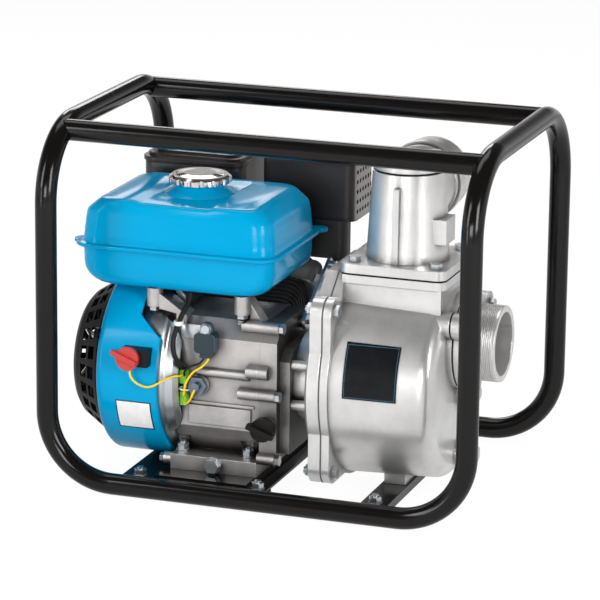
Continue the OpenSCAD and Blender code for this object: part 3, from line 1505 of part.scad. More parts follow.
module prime_cap() {
    z0 = prime_z + prime_seal_t;
    color("#b4b5b6") translate([riser_x, crank_y, 0]) {
        rod_z(z0, z0 + prime_cap_t, prime_cap_r);
        rod_z(prime_z - 10, z0 + eps, prime_bore_r - gap);
        rotate([0, 0, 20]) translate([-prime_cap_r + 6, -5, z0 + prime_cap_t - eps])
            cube([2 * prime_cap_r - 12, 10, 11]);
    }
}
module pump_drain_plug() {
    color("#c7c9cb") translate([0, crank_y, crank_z + drain_up]) {
        rod_x(plug_x, plug_x + 3, plug_r + 5);
        hex_x(plug_x + 3 - eps, plug_x + 14, plug_r + 3);
        rod_x(casing_end - 6, plug_x + eps, plug_r);
    }
}

frame_front();
frame_rear();
top_rail_front();
top_rail_rear();
engine_tray();
pump_channel();
base_bolts();
crankcase();
side_cover();
engine_bolts();
drain_bolt();
level_switch();
oil_alert_unit();
oil_cap();
oil_cap_seal();
engine_cylinder();
cylinder_head();
rocker_cover();
spark_plug();
side_plate();
fan_cover();
flywheel();
crankshaft();
starter_cup();
recoil_housing();
starter_reel();
starter_rope();
starter_handle();
switch_body();
switch_knob();
tank_lower();
tank_upper();
fuel_cap();
fuel_cap_gasket();
carburettor();
choke_lever();
fuel_lever();
throttle_lever();
air_cleaner_case();
air_cleaner_cover();
muffler();
muffler_guard();
wire_sleeve();
wire_yellow();
wire_connectors();
pump_adapter();
pump_gasket();
pump_casing();
pump_bolts();
impeller();
volute();
shaft_seal();
suction_gasket();
suction_flap();
suction_flange();
elbow_gasket();
discharge_elbow();
prime_cap();
prime_cap_seal();
pump_drain_plug();
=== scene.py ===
"""Looks of an engine pump in a tube frame.

Finishes for the CAD nodes, and the pieces that stand in for solids or complete them: the smooth
tank, wires, rope, threads, plates and small trim.
"""

import math

import bmesh
import bpy
from mathutils import Matrix, Vector


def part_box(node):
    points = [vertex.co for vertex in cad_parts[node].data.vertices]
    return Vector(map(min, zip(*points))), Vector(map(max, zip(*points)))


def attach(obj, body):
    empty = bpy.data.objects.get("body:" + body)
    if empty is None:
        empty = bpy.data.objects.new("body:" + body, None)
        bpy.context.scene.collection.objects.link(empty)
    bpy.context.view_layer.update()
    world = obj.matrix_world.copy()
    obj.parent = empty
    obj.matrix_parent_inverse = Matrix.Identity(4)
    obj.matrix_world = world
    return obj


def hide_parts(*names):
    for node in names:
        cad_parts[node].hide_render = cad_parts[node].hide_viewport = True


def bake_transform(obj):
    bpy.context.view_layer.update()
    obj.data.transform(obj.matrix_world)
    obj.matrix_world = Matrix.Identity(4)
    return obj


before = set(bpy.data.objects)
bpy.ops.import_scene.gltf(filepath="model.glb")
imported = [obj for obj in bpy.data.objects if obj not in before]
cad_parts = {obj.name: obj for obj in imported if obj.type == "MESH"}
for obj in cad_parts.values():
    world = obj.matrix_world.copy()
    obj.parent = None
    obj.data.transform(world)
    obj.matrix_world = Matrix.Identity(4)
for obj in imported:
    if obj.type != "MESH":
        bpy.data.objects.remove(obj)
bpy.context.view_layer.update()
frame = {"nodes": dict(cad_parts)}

bl_info = {
    "name": "Engine pump looks",
    "version": (1, 0, 0),
    "blender": (4, 5, 0),
    "location": "View3D > Sidebar > Engine pump",
    "description": "Finishes, tank, wires, threads and plates of an engine pump in a tube frame",
    "category": "Object",
}

MM = 0.001
CHASSIS = "chassis"
WHITE = (1.0, 1.0, 1.0, 1.0)
# Turns that lay a primitive's Z axis toward the front, or along the crank
FACING_FRONT = (math.radians(90), 0.0, 0.0)
ALONG_X = (0.0, math.radians(90), 0.0)

# The camera: sensor and lens in millimetres, turns in degrees, place and clipping in metres
SENSOR, LENS = 36.0, 209.43
VIEW_YAW, VIEW_PITCH, VIEW_ROLL = 18.98, 14.96, 0.66
CAMERA_PLACE = (1.2808, -3.7508, 1.2621)
CAMERA_CLIP = (0.1, 50.0)

# Area lamps, all toward one point: place, width and height in metres, power in watts
LAMP_TARGET = Vector((0.0, -0.02, 0.2))
LAMPS = {
    "key": ((-1.5, -2.0, 1.4), 0.7, 1.3, 26.0),
    "side": ((2.1, -1.5, 1.1), 0.8, 1.3, 43.0),
    "front": ((0.5, -3.2, 0.75), 1.2, 0.7, 30.0),
    "low": ((-1.5, -2.4, 0.3), 0.5, 0.8, 9.0),
    "top": ((-0.5, 0.7, 2.2), 1.6, 0.9, 11.0),
    "back": ((-1.2, 2.2, 1.5), 1.2, 0.8, 14.0),
}
# The studio's brightness by the way that a ray goes: up to the ceiling, and to the open front
CEILING_FALL = {"of": (0.06, 0.36), "to": (1.0, 0.10)}
FRONT_FALL = {"of": (-0.97, -0.70), "to": (0.30, 1.0)}
FILL_COLOUR, FILL_STRENGTH = (0.97, 0.98, 1.0, 1.0), 0.30
FLOOR_SIZE, FLOOR_DROP = 14.0, 0.0005
FLOOR_COLOUR, FLOOR_GLOW = (0.86, 0.86, 0.86, 1.0), 1.05
FLOOR_SEEN, FLOOR_MIRRORED = 0.9, 0.45

# Places in metres: the part's own, and that of the alert unit's bracket
CRANK = Vector((0.0, -34.0, 124.0)) * MM
CASING = Vector((0.0, -34.0, 134.0)) * MM
SUCTION = Vector((217.6, -34.0, 184.0)) * MM
OUTLET = Vector((133.0, 31.6, 354.0)) * MM
ROPE = Vector((-228.0, 0.0, 168.0)) * MM
TANK = Vector((-125.0, -30.0, 276.0)) * MM
NECK = Vector((-125.0, -27.0, 331.0)) * MM
BRACKET = Vector((-98.0, -112.7, 184.0)) * MM

# From here on, sizes and places are in millimetres and angles in degrees, where no line says else

# The pressed tank: half sizes and corner of the seam, and half sizes of the walls
FLANGE_HALF, FLANGE_CORNER, CORNER_SEGMENTS = (125.0, 93.0), 25.0, 16
TANK_HALF = (118.0, 86.0)
# Its halves, ring by ring from the seam: height, then what half length and half width lose there
TOP_RINGS = [
    (1.4, -7.0, -7.0), (2.0, -6.4, -6.4), (2.1, -2.6, -2.6), (2.8, -1.0, -1.0), (4.6, 0.0, 0.0),
    (16.0, 0.9, 1.2), (28.0, 2.0, 2.6), (37.0, 3.2, 3.9), (39.5, 4.2, 4.3), (41.5, 6.0, 4.7),
    (50.6, 16.6, 7.0), (52.8, 19.6, 8.3), (54.3, 23.4, 10.6), (55.0, 28.5, 14.5)]
LOW_RINGS = [
    (1.4, -7.0, -7.0), (2.0, -6.4, -6.4), (2.1, -2.6, -2.6), (2.8, -1.0, -1.0), (4.6, 0.0, 0.0),
    (22.0, 0.5, 0.5), (30.0, 1.6, 1.2), (35.0, 4.2, 2.2), (39.0, 7.6, 3.5), (42.5, 11.6, 5.3),
    (45.3, 16.4, 7.8), (47.2, 22.0, 11.0), (48.0, 28.5, 15.0)]
# The filler neck from its foot: height over the tank's top, and radius
NECK_RINGS = [
    (-6.0, 43.0), (-3.0, 42.0), (-0.8, 39.0), (1.6, 35.4), (4.4, 32.2), (7.4, 30.2), (9.6, 29.4),
    (10.6, 28.6), (11.0, 27.6), (11.0, 25.0), (10.4, 24.2), (-5.0, 24.0)]
NECK_SIDES = 72
# Round ears of the seam
EARS = [(-245.0, -92.0), (-6.0, 56.0)]
EAR_RADIUS, EAR_THICK, EAR_RIM, EAR_SIDES = 11.0, 2.0, 0.5, 48
# The pan pressed into the top round the neck, measured from the neck. Its points are found by
# their height over the seam, with some slack at the pan's edges
PAN = {"left": -46.0, "right": 40.0, "rear": 50.0, "slope": 6.0, "depth": 2.6}
PAN_ABOVE, PAN_SLACK = 50.0, 0.05
# The hollow under the tank for the fan cover, and how near points are merged after the cuts
RELIEF_REACH, RELIEF_RADIUS, MERGE_NEAR = (-262.0, -119.5), 113.0, 0.01
# Sides of the wide round forms: that hollow, and the bands that plates are cut from
BENT_SIDES = 180

# Thread ridges: how deep they stand in the pipe, width of foot and crest in pitches, steps a turn
THREAD_SINK, THREAD_FOOT, THREAD_CREST, THREAD_STEPS = 0.15, 0.98, 0.2, 72

# The rope: its sides, the share of its radius between strands, steps along it, twist of each step
ROPE_SIDES, STRAND_VALLEY, ROPE_STEPS, ROPE_TWIST = 24, 0.86, 48, 15.0
# What it is shorter than its solid, and the length that the housing holds
ROPE_SPARE, ROPE_HELD = 2, 4

# Plates bent round an axis: reach along X, angles up from the front, radii at both ends
CASING_PLATE = {"reach": (94.0, 157.0), "angles": (0.2, 32.5), "radii": (116.35, 114.25)}
COVER_PLATE = {"reach": (-186.1, -142.5), "angles": (-32.7, -12.2), "radii": (110.05, 110.05)}
PLATE_LIP = {"reach": (-166.0, -126.0), "angles": (8.0, 64.0), "radii": (93.2, 93.2)}
# The line on a bare plate: the plate's middle and half size in metres, the line's edges inward
CASING_LINE = {"centre": (0.1255, 0.1651), "half": (0.0315, 0.0307), "line": (1.4, 2.1)}
COVER_LINE = {"centre": (-0.1643, 0.0826), "half": (0.0218, 0.0182), "line": (-1.0, 1.3)}
# The washer plate on the air cleaner, and the turned-down lip of the engine tray, a black sheet
# that also stands in for the shade under the tray
WASHER = {"place": (-172.0, 117.7, 350.0), "half": (36.0, 30.0), "corner": 9.0, "thick": 1.0}
TRAY_SHADE_LIP = {"place": (-77.0, -151.0, 12.2), "half": (53.4, 0.9, 3.2), "ease": 0.5}

# Straps round the wires
SLEEVE_CLIP = {"place": (-114.2, -124.0, 195.5), "size": (9.4, 9.4), "height": 5.0, "wall": 1.0}
CONNECTOR_TIE = {"place": (-107.6, -118.6, 116.0), "size": (14.0, 13.0), "height": 2.2, "wall": 0.9}
STRAP_SIDES, STRAP_EASE = 32, 0.2

# The alert unit's bracket with its tongue, and the screw that holds the unit
BRACKET_SIZE, BRACKET_EASE = (24.0, 1.6, 17.0), 0.5
TONGUE_LENGTH, TONGUE_SHARE, TONGUE_RISE = 5.0, 0.55, 2.0
SCREW_PLACE, SCREW_INSET = (-81.0, 191.0), 2.0
SCREW_RADIUS, SCREW_DEPTH, SCREW_SIDES = 7.0, 3.8, 32
SCREW_RIM, SCREW_SINK, HEAD_RISE, HEAD_SHARE = 1.8, 1.0, 1.3, 0.98

# Routes of the wires. Those of the sleeve and the earth wire are in the part's source too
SLEEVE_ROUTE = [
    (-108.5, -100, 226.5), (-108.5, -106, 217), (-111.5, -116, 207), (-114.5, -125, 194),
    (-117.5, -132, 178), (-116.5, -135, 164), (-113, -134, 154), (-109.7, -131, 148),
    (-108.9, -125, 143.5), (-109.5, -119, 141)]
EARTH_ROUTE = [
    (-165, -149, 145.7), (-164, -150, 134), (-157, -150, 126), (-145.5, -149.5, 122),
    (-136.5, -149, 124), (-129.5, -146, 128), (-122.5, -141, 132), (-115.5, -135, 134),
    (-111.5, -130, 133.5), (-110, -121.1, 133)]
ALERT_YELLOW_ROUTE = [
    (-78, -121, 158), (-78.5, -122.5, 154), (-82, -124, 149), (-88, -125, 144),
    (-95, -126, 139), (-101, -127, 131), (-105, -127, 122), (-106.5, -126, 114),
    (-107.5, -124, 109), (-108, -120, 107)]
ALERT_BLACK_ROUTE = [
    (-84, -121, 158), (-84.6, -123, 154), (-88, -125, 150), (-94, -126.5, 147.5),
    (-100, -127, 144.5), (-105, -126, 140), (-107.5, -123, 136), (-108.3, -121, 132)]
LEVEL_ROUTE = [
    (-93, -126, 118), (-93.4, -129.4, 116.5), (-95, -131, 112), (-98, -130, 106),
    (-102, -127.5, 101.5), (-106, -124, 100), (-108, -121, 100.5)]
ROUTE_STEPS = 8


# Sizes and colours that a user would change

class PumpSizes(bpy.types.PropertyGroup):
    """Sizes of the small pieces"""

    thread_pitch: bpy.props.FloatProperty(
        name="Thread pitch", description="Pitch of the three-inch pipe threads",
        default=2.309 * MM, subtype="DISTANCE", unit="LENGTH", precision=5)
    thread_height: bpy.props.FloatProperty(
        name="Thread height", description="Height of a thread ridge over the pipe",
        default=0.6 * MM, subtype="DISTANCE", unit="LENGTH", precision=5)
    thread_radius: bpy.props.FloatProperty(
        name="Thread radius", description="Radius of the pipes under the ridges",
        default=43.9 * MM, subtype="DISTANCE", unit="LENGTH", precision=5)
    thread_length: bpy.props.FloatProperty(
        name="Thread length", description="Threaded length of each pipe",
        default=30.5 * MM, subtype="DISTANCE", unit="LENGTH", precision=5)
    sleeve_width: bpy.props.FloatProperty(
        name="Wire sleeve", description="Diameter of the black wire sleeve",
        default=6.0 * MM, subtype="DISTANCE", unit="LENGTH", precision=5)
    wire_width: bpy.props.FloatProperty(
        name="Wire", description="Diameter of a single wire",
        default=2.6 * MM, subtype="DISTANCE", unit="LENGTH", precision=5)
    rope_width: bpy.props.FloatProperty(
        name="Starter rope", description="Diameter of the starter rope",
        default=4.4 * MM, subtype="DISTANCE", unit="LENGTH", precision=5)
    plate_thickness: bpy.props.FloatProperty(
        name="Plate thickness", description="Thickness of the bent plates",
        default=0.5 * MM, subtype="DISTANCE", unit="LENGTH", precision=5)


class PumpColours(bpy.types.PropertyGroup):
    """Colours of the finishes"""

    frame: bpy.props.FloatVectorProperty(
        name="Frame", description="Gloss paint of the tube frame", subtype="COLOR", size=3,
        default=(0.0045, 0.0038, 0.0035), min=0, max=1)
    blue: bpy.props.FloatVectorProperty(
        name="Tank and fan cover", description="Gloss paint of the sheet-metal covers",
        subtype="COLOR", size=3, default=(0.0, 0.30, 0.555), min=0, max=1)
    engine: bpy.props.FloatVectorProperty(
        name="Engine castings", description="Bare die-cast metal", subtype="COLOR", size=3,
        default=(0.53, 0.51, 0.50), min=0, max=1)
    pump: bpy.props.FloatVectorProperty(
        name="Pump castings", description="Satin silver on the pump castings", subtype="COLOR",
        size=3, default=(0.71, 0.70, 0.692), min=0, max=1)
    plastic: bpy.props.FloatVectorProperty(
        name="Black plastic", description="Moulded covers, caps and levers", subtype="COLOR",
        size=3, default=(0.0075, 0.0063, 0.0059), min=0, max=1)
    knob: bpy.props.FloatVectorProperty(
        name="Switch knob", description="Red moulded knob", subtype="COLOR", size=3,
        default=(0.47, 0.035, 0.03), min=0, max=1)
    zinc: bpy.props.FloatVectorProperty(
        name="Zinc plate", description="Bolts and the pressed side plate", subtype="COLOR",
        size=3, default=(0.58, 0.60, 0.61), min=0, max=1)
    alert: bpy.props.FloatVectorProperty(
        name="Alert unit", description="Moulded case of the oil alert unit", subtype="COLOR",
        size=3, default=(0.010, 0.026, 0.035), min=0, max=1)
    rope: bpy.props.FloatVectorProperty(
        name="Rope", description="Braided starter rope", subtype="COLOR", size=3,
        default=(0.72, 0.70, 0.64), min=0, max=1)
    wire: bpy.props.FloatVectorProperty(
        name="Earth wire", description="Yellow wire sheath", subtype="COLOR", size=3,
        default=(0.80, 0.55, 0.02), min=0, max=1)
    sleeve: bpy.props.FloatVectorProperty(
        name="Connector sleeves", description="Green sleeves over the connectors",
        subtype="COLOR", size=3, default=(0.20, 0.50, 0.05), min=0, max=1)
    plate: bpy.props.FloatVectorProperty(
        name="Dark plate", description="Bare plate on the pump casing", subtype="COLOR", size=3,
        default=(0.004, 0.0045, 0.006), min=0, max=1)
    pale_plate: bpy.props.FloatVectorProperty(
        name="Pale plate", description="Bare plate on the fan cover", subtype="COLOR", size=3,
        default=(0.78, 0.77, 0.76), min=0, max=1)


# Finishes

class Nodes:
    """The node tree of a material or a world, filled by calls."""

    def __init__(self, owner):
        owner.use_nodes = True
        self.tree = owner.node_tree
        self.tree.nodes.clear()

    def add(self, kind, inputs=None, **settings):
        """One node with its settings; an input is a value or another node's socket."""
        made = self.tree.nodes.new(kind)
        for key, value in settings.items():
            setattr(made, key, value)
        for key, value in (inputs or {}).items():
            if isinstance(value, bpy.types.NodeSocket):
                self.tree.links.new(value, made.inputs[key])
            else:
                made.inputs[key].default_value = value
        return made

    def span(self, value, of=(0.0, 1.0), to=(0.0, 1.0)):
        """Takes one range of a value to another."""
        return self.add("ShaderNodeMapRange", {
            "Value": value, "From Min": of[0], "From Max": of[1], "To Min": to[0], "To Max": to[1],
        }).outputs["Result"]

    def math(self, operation, first, second=0.0):
        return self.add("ShaderNodeMath", {0: first, 1: second}, operation=operation).outputs[0]

    def mix_shaders(self, factor, first, second):
        return self.add("ShaderNodeMixShader", {
            0: factor, 1: first.outputs[0], 2: second.outputs[0]}).outputs[0]


class Finish(Nodes):
    """One procedural material on Object coordinates."""

    def __init__(self, name):
        self.material = bpy.data.materials.new(name)
        super().__init__(self.material)
        self.place = self.add("ShaderNodeTexCoord").outputs["Object"]

    def noise(self, scale, detail=2.0, roughness=0.5, stretch=None):
        where = self.place
        if stretch:
            where = self.add("ShaderNodeMapping", {"Vector": where, "Scale": stretch}).outputs[0]
        return self.add("ShaderNodeTexNoise", {
            "Vector": where, "Scale": scale, "Detail": detail, "Roughness": roughness,
        }).outputs["Fac"]

    def mix(self, factor, first, second):
        """Mixes two colours: 6 and 7 are the Mix node's colour inputs, 2 its colour output."""
        inputs = {0: factor, 6: first, 7: second}
        return self.add("ShaderNodeMix", inputs, data_type="RGBA").outputs[2]

    def bump(self, height, strength, depth, normal=None):
        inputs = {"Height": height, "Strength": strength, "Distance": depth}
        if normal is not None:
            inputs["Normal"] = normal
        return self.add("ShaderNodeBump", inputs).outputs["Normal"]

    def flat_normal(self):
        return self.add("ShaderNodeNewGeometry").outputs["Normal"]

    def soft_edges(self, radius):
        """Normals rounded over the edges, and a mask that is bright on them."""
        rounded = self.add("ShaderNodeBevel", {"Radius": radius}, samples=4).outputs[0]
        along = self.add("ShaderNodeVectorMath", {0: rounded, 1: self.flat_normal()},
                         operation="DOT_PRODUCT").outputs["Value"]
        return rounded, self.span(along, of=(0.75, 0.995), to=(1.0, 0.0))

    def corners(self, reach):
        """1 on open surfaces, down to 0 in corners and gaps narrower than the reach."""
        made = self.add("ShaderNodeAmbientOcclusion", {"Distance": reach}, samples=4)
        return self.span(made.outputs["AO"], of=(0.25, 0.95))

    def close(self, **inputs):
        """Ends the material in one Principled shader with these inputs."""
        shader = self.add("ShaderNodeBsdfPrincipled", {
            key.replace("_", " "): value for key, value in inputs.items()})
        self.add("ShaderNodeOutputMaterial", {"Surface": shader.outputs[0]})
        return self.material


# Colour of the painted shade that darkens corners and gaps of the castings
CORNER_SHADE = (0.03, 0.027, 0.024)


def rgba(colour, gain=1.0):
    """The colour for a socket, brightened or dimmed."""
    return tuple(min(1.0, c * gain) for c in colour) + (1.0,)


def gloss_paint(name, colour, rough, peel, edge_gain, gloss):
    """Sprayed gloss paint: faint orange peel, slow drift of tone, thinner on the edges."""
    f = Finish(name)
    normal, edges = f.soft_edges(0.9 * MM)
    tone = f.mix(f.noise(9.0, detail=3.0), rgba(colour, 0.93), rgba(colour, 1.06))
    tone = f.mix(f.span(edges, to=(0.0, 0.5)), tone, rgba(colour, edge_gain))
    wet = f.span(f.noise(38.0, detail=4.0, roughness=0.6), to=(rough * 0.8, rough * 1.25))
    skin = f.bump(f.noise(420.0, detail=1.5), peel, 0.4 * MM, normal)
    return f.close(Base_Color=tone, Roughness=wet, Normal=skin, Specular_IOR_Level=gloss)


def cast_metal(name, colour, metallic, rough, grain, grain_scale, edge_gain, edge=1.2, reach=12.0,
               cloudy=0.86):
    """Die-cast or painted casting: sandy grain, cloudy tone, rubbed edges, painted shade in
    corners.
    """
    f = Finish(name)
    normal, edges = f.soft_edges(edge * MM)
    cloud = f.noise(24.0, detail=5.0, roughness=0.62)
    speck = f.noise(grain_scale, detail=2.0, roughness=0.7)
    tone = f.mix(f.span(cloud, of=(0.3, 0.7)), rgba(colour, cloudy), rgba(colour, 1.08))
    tone = f.mix(f.span(speck, of=(0.45, 0.75), to=(0.0, 0.35)), tone, rgba(colour, 0.72))
    tone = f.mix(f.span(edges, to=(0.0, 0.6)), tone, rgba(colour, edge_gain))
    # Painted shade: corners and gaps narrower than the reach are darkened toward the shade colour
    tone = f.mix(f.corners(reach * MM), rgba(CORNER_SHADE), tone)
    dull = f.span(speck, to=(rough * 0.85, rough * 1.2))
    skin = f.bump(speck, grain, 0.35 * MM, normal)
    return f.close(Base_Color=tone, Metallic=metallic, Roughness=dull, Normal=skin)


def plated_metal(name, colour, rough, tint):
    """Zinc or chrome plate: fine brushing, a faint drift of colour, and painted shade in corners.
    """
    f = Finish(name)
    normal, edges = f.soft_edges(0.5 * MM)
    drift = f.noise(70.0, detail=3.0, roughness=0.6)
    tone = f.mix(f.span(drift, of=(0.35, 0.65)), rgba(colour), rgba(tint))
    # Painted shade: corners and gaps within 6 mm are darkened to a quarter of the colour
    tone = f.mix(f.corners(6.0 * MM), rgba(colour, 0.25), tone)
    tone = f.mix(f.span(edges, to=(0.0, 0.5)), tone, rgba(colour, 1.3))
    brushed = f.noise(900.0, detail=2.0, roughness=0.6, stretch=(1.0, 1.0, 0.12))
    dull = f.span(brushed, to=(rough * 0.8, rough * 1.25))
    skin = f.bump(brushed, 0.03, 0.1 * MM, normal)
    return f.close(Base_Color=tone, Metallic=1.0, Roughness=dull, Normal=skin)


def moulded(name, colour, rough, grain, edge_gain=1.5, grain_scale=1400.0, edge=0.7, gloss=0.16):
    """Moulded plastic: leather-fine grain, and edges painted lighter as a highlight."""
    f = Finish(name)
    normal, edges = f.soft_edges(edge * MM)
    drift = f.noise(30.0, detail=4.0, roughness=0.6)
    tone = f.mix(drift, rgba(colour, 0.8), rgba(colour, 1.2))
    # Painted highlight: the edges are lightened by the edge gain
    tone = f.mix(f.span(edges, to=(0.0, 0.5)), tone, rgba(colour, edge_gain))
    pits = f.noise(grain_scale, detail=1.0)
    dull = f.span(pits, to=(rough * 0.85, rough * 1.2))
    skin = f.bump(pits, grain, 0.25 * MM, normal)
    return f.close(Base_Color=tone, Roughness=dull, Normal=skin, Specular_IOR_Level=gloss)


def guard_paint(name, colour, bare, metal):
    """Black paint or plastic that has gone grey on the side toward the pump."""
    f = Finish(name)
    crisp = f.soft_edges(0.8 * MM)[0]
    rolled = f.soft_edges(8.0 * MM)[0]
    facing = f.add("ShaderNodeSeparateXYZ", {0: f.flat_normal()})
    side = f.span(facing.outputs[0], of=(0.80, 0.92))
    normal = f.mix(side, rolled, crisp)
    tone = f.mix(f.noise(26.0, detail=4.0), rgba(colour, 0.8), rgba(colour, 1.3))
    pale = f.mix(f.noise(30.0, detail=4.0), rgba(bare, 0.85), rgba(bare, 1.1))
    skin = f.bump(f.noise(700.0, detail=2.0), 0.08, 0.3 * MM, normal)
    return f.close(Base_Color=f.mix(side, tone, pale), Roughness=f.span(side, to=(0.28, 0.42)),
                   Metallic=f.span(side, to=(0.0, metal)) if metal else 0.0, Normal=skin)


def woven(name, colour):
    """Braided cord: slanting strands along its length."""
    f = Finish(name)
    turn = f.add("ShaderNodeMapping", {"Vector": f.place, "Scale": (700.0, 420.0, 700.0)})
    weave = f.add("ShaderNodeTexWave", {
        "Vector": turn.outputs[0], "Scale": 1.0, "Distortion": 3.0,
    }, bands_direction="DIAGONAL").outputs["Fac"]
    tone = f.mix(weave, rgba(colour, 0.6), rgba(colour, 1.05))
    skin = f.bump(weave, 0.5, 0.3 * MM)
    return f.close(Base_Color=tone, Roughness=f.span(weave, to=(0.7, 0.9)), Normal=skin)


def bordered(name, colour, border, gloss, centre, half, line):
    """A bare plate with one plain line round it, by its middle and half size in X and Z.

    The line runs between two distances from the plate's edge.
    """
    f = Finish(name)
    parts = f.add("ShaderNodeSeparateXYZ", {0: f.place}).outputs
    offsets = [f.math("ABSOLUTE", f.math("SUBTRACT", parts[axis], middle))
               for axis, middle in zip("XZ", centre)]
    inset = f.math("MINIMUM", *(f.math("SUBTRACT", reach, offset)
                                for reach, offset in zip(half, offsets)))
    drawn = f.math("MULTIPLY", f.math("GREATER_THAN", inset, line[0] * MM),
                   f.math("LESS_THAN", inset, line[1] * MM))
    drift = f.noise(60.0, detail=3.0)
    inner = f.mix(drift, rgba(colour, 0.9), rgba(colour, 1.1))
    outer = f.mix(drift, rgba(border, 0.85), rgba(border, 1.1))
    skin = f.bump(f.noise(1200.0, detail=1.0), 0.03, 0.2 * MM)
    return f.close(Base_Color=f.mix(drawn, inner, outer), Normal=skin,
                   Roughness=f.span(drift, to=(0.22, 0.32)), Specular_IOR_Level=gloss)


def dress(material, *names):
    """Gives CAD nodes one material."""
    for name in names:
        node = frame["nodes"][name]
        if not node.material_slots:
            node.data.materials.append(material)
        for holder in node.material_slots:
            holder.material = material


# Modelling helpers

def nothing_selected():
    """Leaves edit mode and deselects everything."""
    if bpy.context.object and bpy.context.object.mode != "OBJECT":
        bpy.ops.object.mode_set(mode="OBJECT")
    bpy.ops.object.select_all(action="DESELECT")


def only(piece):
    """Makes the piece the one that is selected and active."""
    nothing_selected()
    piece.select_set(True)
    bpy.context.view_layer.objects.active = piece


def begin(name):
    """Names the primitive just added and opens it for editing, all selected."""
    piece = bpy.context.object
    piece.name = name
    piece.data.name = name
    bpy.ops.object.mode_set(mode="EDIT")
    bpy.ops.mesh.select_all(action="SELECT")
    return piece


def pick(piece, test, kind="FACE"):
    """Selects the faces, edges or points of the piece in edit mode that pass the test."""
    bpy.ops.mesh.select_all(action="DESELECT")
    bpy.ops.mesh.select_mode(type=kind)
    shape = bmesh.from_edit_mesh(piece.data)
    parts = {"FACE": shape.faces, "EDGE": shape.edges, "VERT": shape.verts}[kind]
    count = 0
    for part in parts:
        chosen = bool(test(part))
        part.select_set(chosen)
        count += chosen
    shape.select_flush_mode()
    bmesh.update_edit_mesh(piece.data)
    if not count:
        raise RuntimeError(f"nothing to select on {piece.name}")


def draw_out(move):
    """Extrudes what is selected."""
    bpy.ops.mesh.extrude_region_move(
        TRANSFORM_OT_translate={"value": move, "orient_type": "GLOBAL"})


def stretch(scale, centre):
    """Scales what is selected about a point."""
    bpy.ops.transform.resize(value=scale, orient_type="GLOBAL", center_override=centre)


def face_outward():
    """Turns all faces of the piece in edit mode out, and leaves edit mode."""
    bpy.ops.mesh.select_all(action="SELECT")
    bpy.ops.mesh.normals_make_consistent(inside=False)
    bpy.ops.object.mode_set(mode="OBJECT")


def apply_place():
    """Puts the place, turn and scale of what is selected into its mesh."""
    bpy.ops.object.transform_apply(location=True, rotation=True, scale=True)


def apply_modifier(piece, kind, **settings):
    """Adds a modifier and applies it."""
    only(piece)
    made = piece.modifiers.new(kind.title(), kind)
    for key, value in settings.items():
        setattr(made, key, value)
    bpy.ops.object.modifier_apply(modifier=made.name)


def settle(piece, material, body=CHASSIS, smooth=35.0):
    """Closes the piece: faces out, its place into its mesh, its finish on.

    A piece given no body rides on none.
    """
    if piece.mode == "EDIT":
        face_outward()
    only(piece)
    apply_place()
    bpy.ops.object.shade_smooth_by_angle(angle=math.radians(smooth))
    piece.data.materials.clear()
    piece.data.materials.append(material)
    if body:
        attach(piece, body)
    piece.select_set(False)


def smooth_route(points):
    """A dense smooth line through the listed points (Catmull-Rom), in metres."""
    at = [Vector(p) * MM for p in points]
    line = []
    for i in range(len(at) - 1):
        a, b, c, d = at[max(i - 1, 0)], at[i], at[i + 1], at[min(i + 2, len(at) - 1)]
        for k in range(ROUTE_STEPS):
            t = k / ROUTE_STEPS
            line.append(0.5 * (2 * b + (c - a) * t + (2 * a - 5 * b + 4 * c - d) * t * t
                               + (3 * b - a - 3 * c + d) * t ** 3))
    return line + [at[-1]]


def cord(name, route, width, material):
    """A wire as one round curve along its route."""
    line = smooth_route(route)
    curve = bpy.data.curves.new(name, "CURVE")
    curve.dimensions = "3D"
    curve.bevel_depth = width / 2
    curve.bevel_resolution = 4
    curve.use_fill_caps = True
    spline = curve.splines.new("POLY")
    spline.points.add(len(line) - 1)
    for point, at in zip(spline.points, line):
        point.co = (*at, 1.0)
    spline.use_smooth = True
    piece = bpy.data.objects.new(name, curve)
    bpy.context.scene.collection.objects.link(piece)
    curve.materials.append(material)
    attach(piece, CHASSIS)
    return piece


# Operators

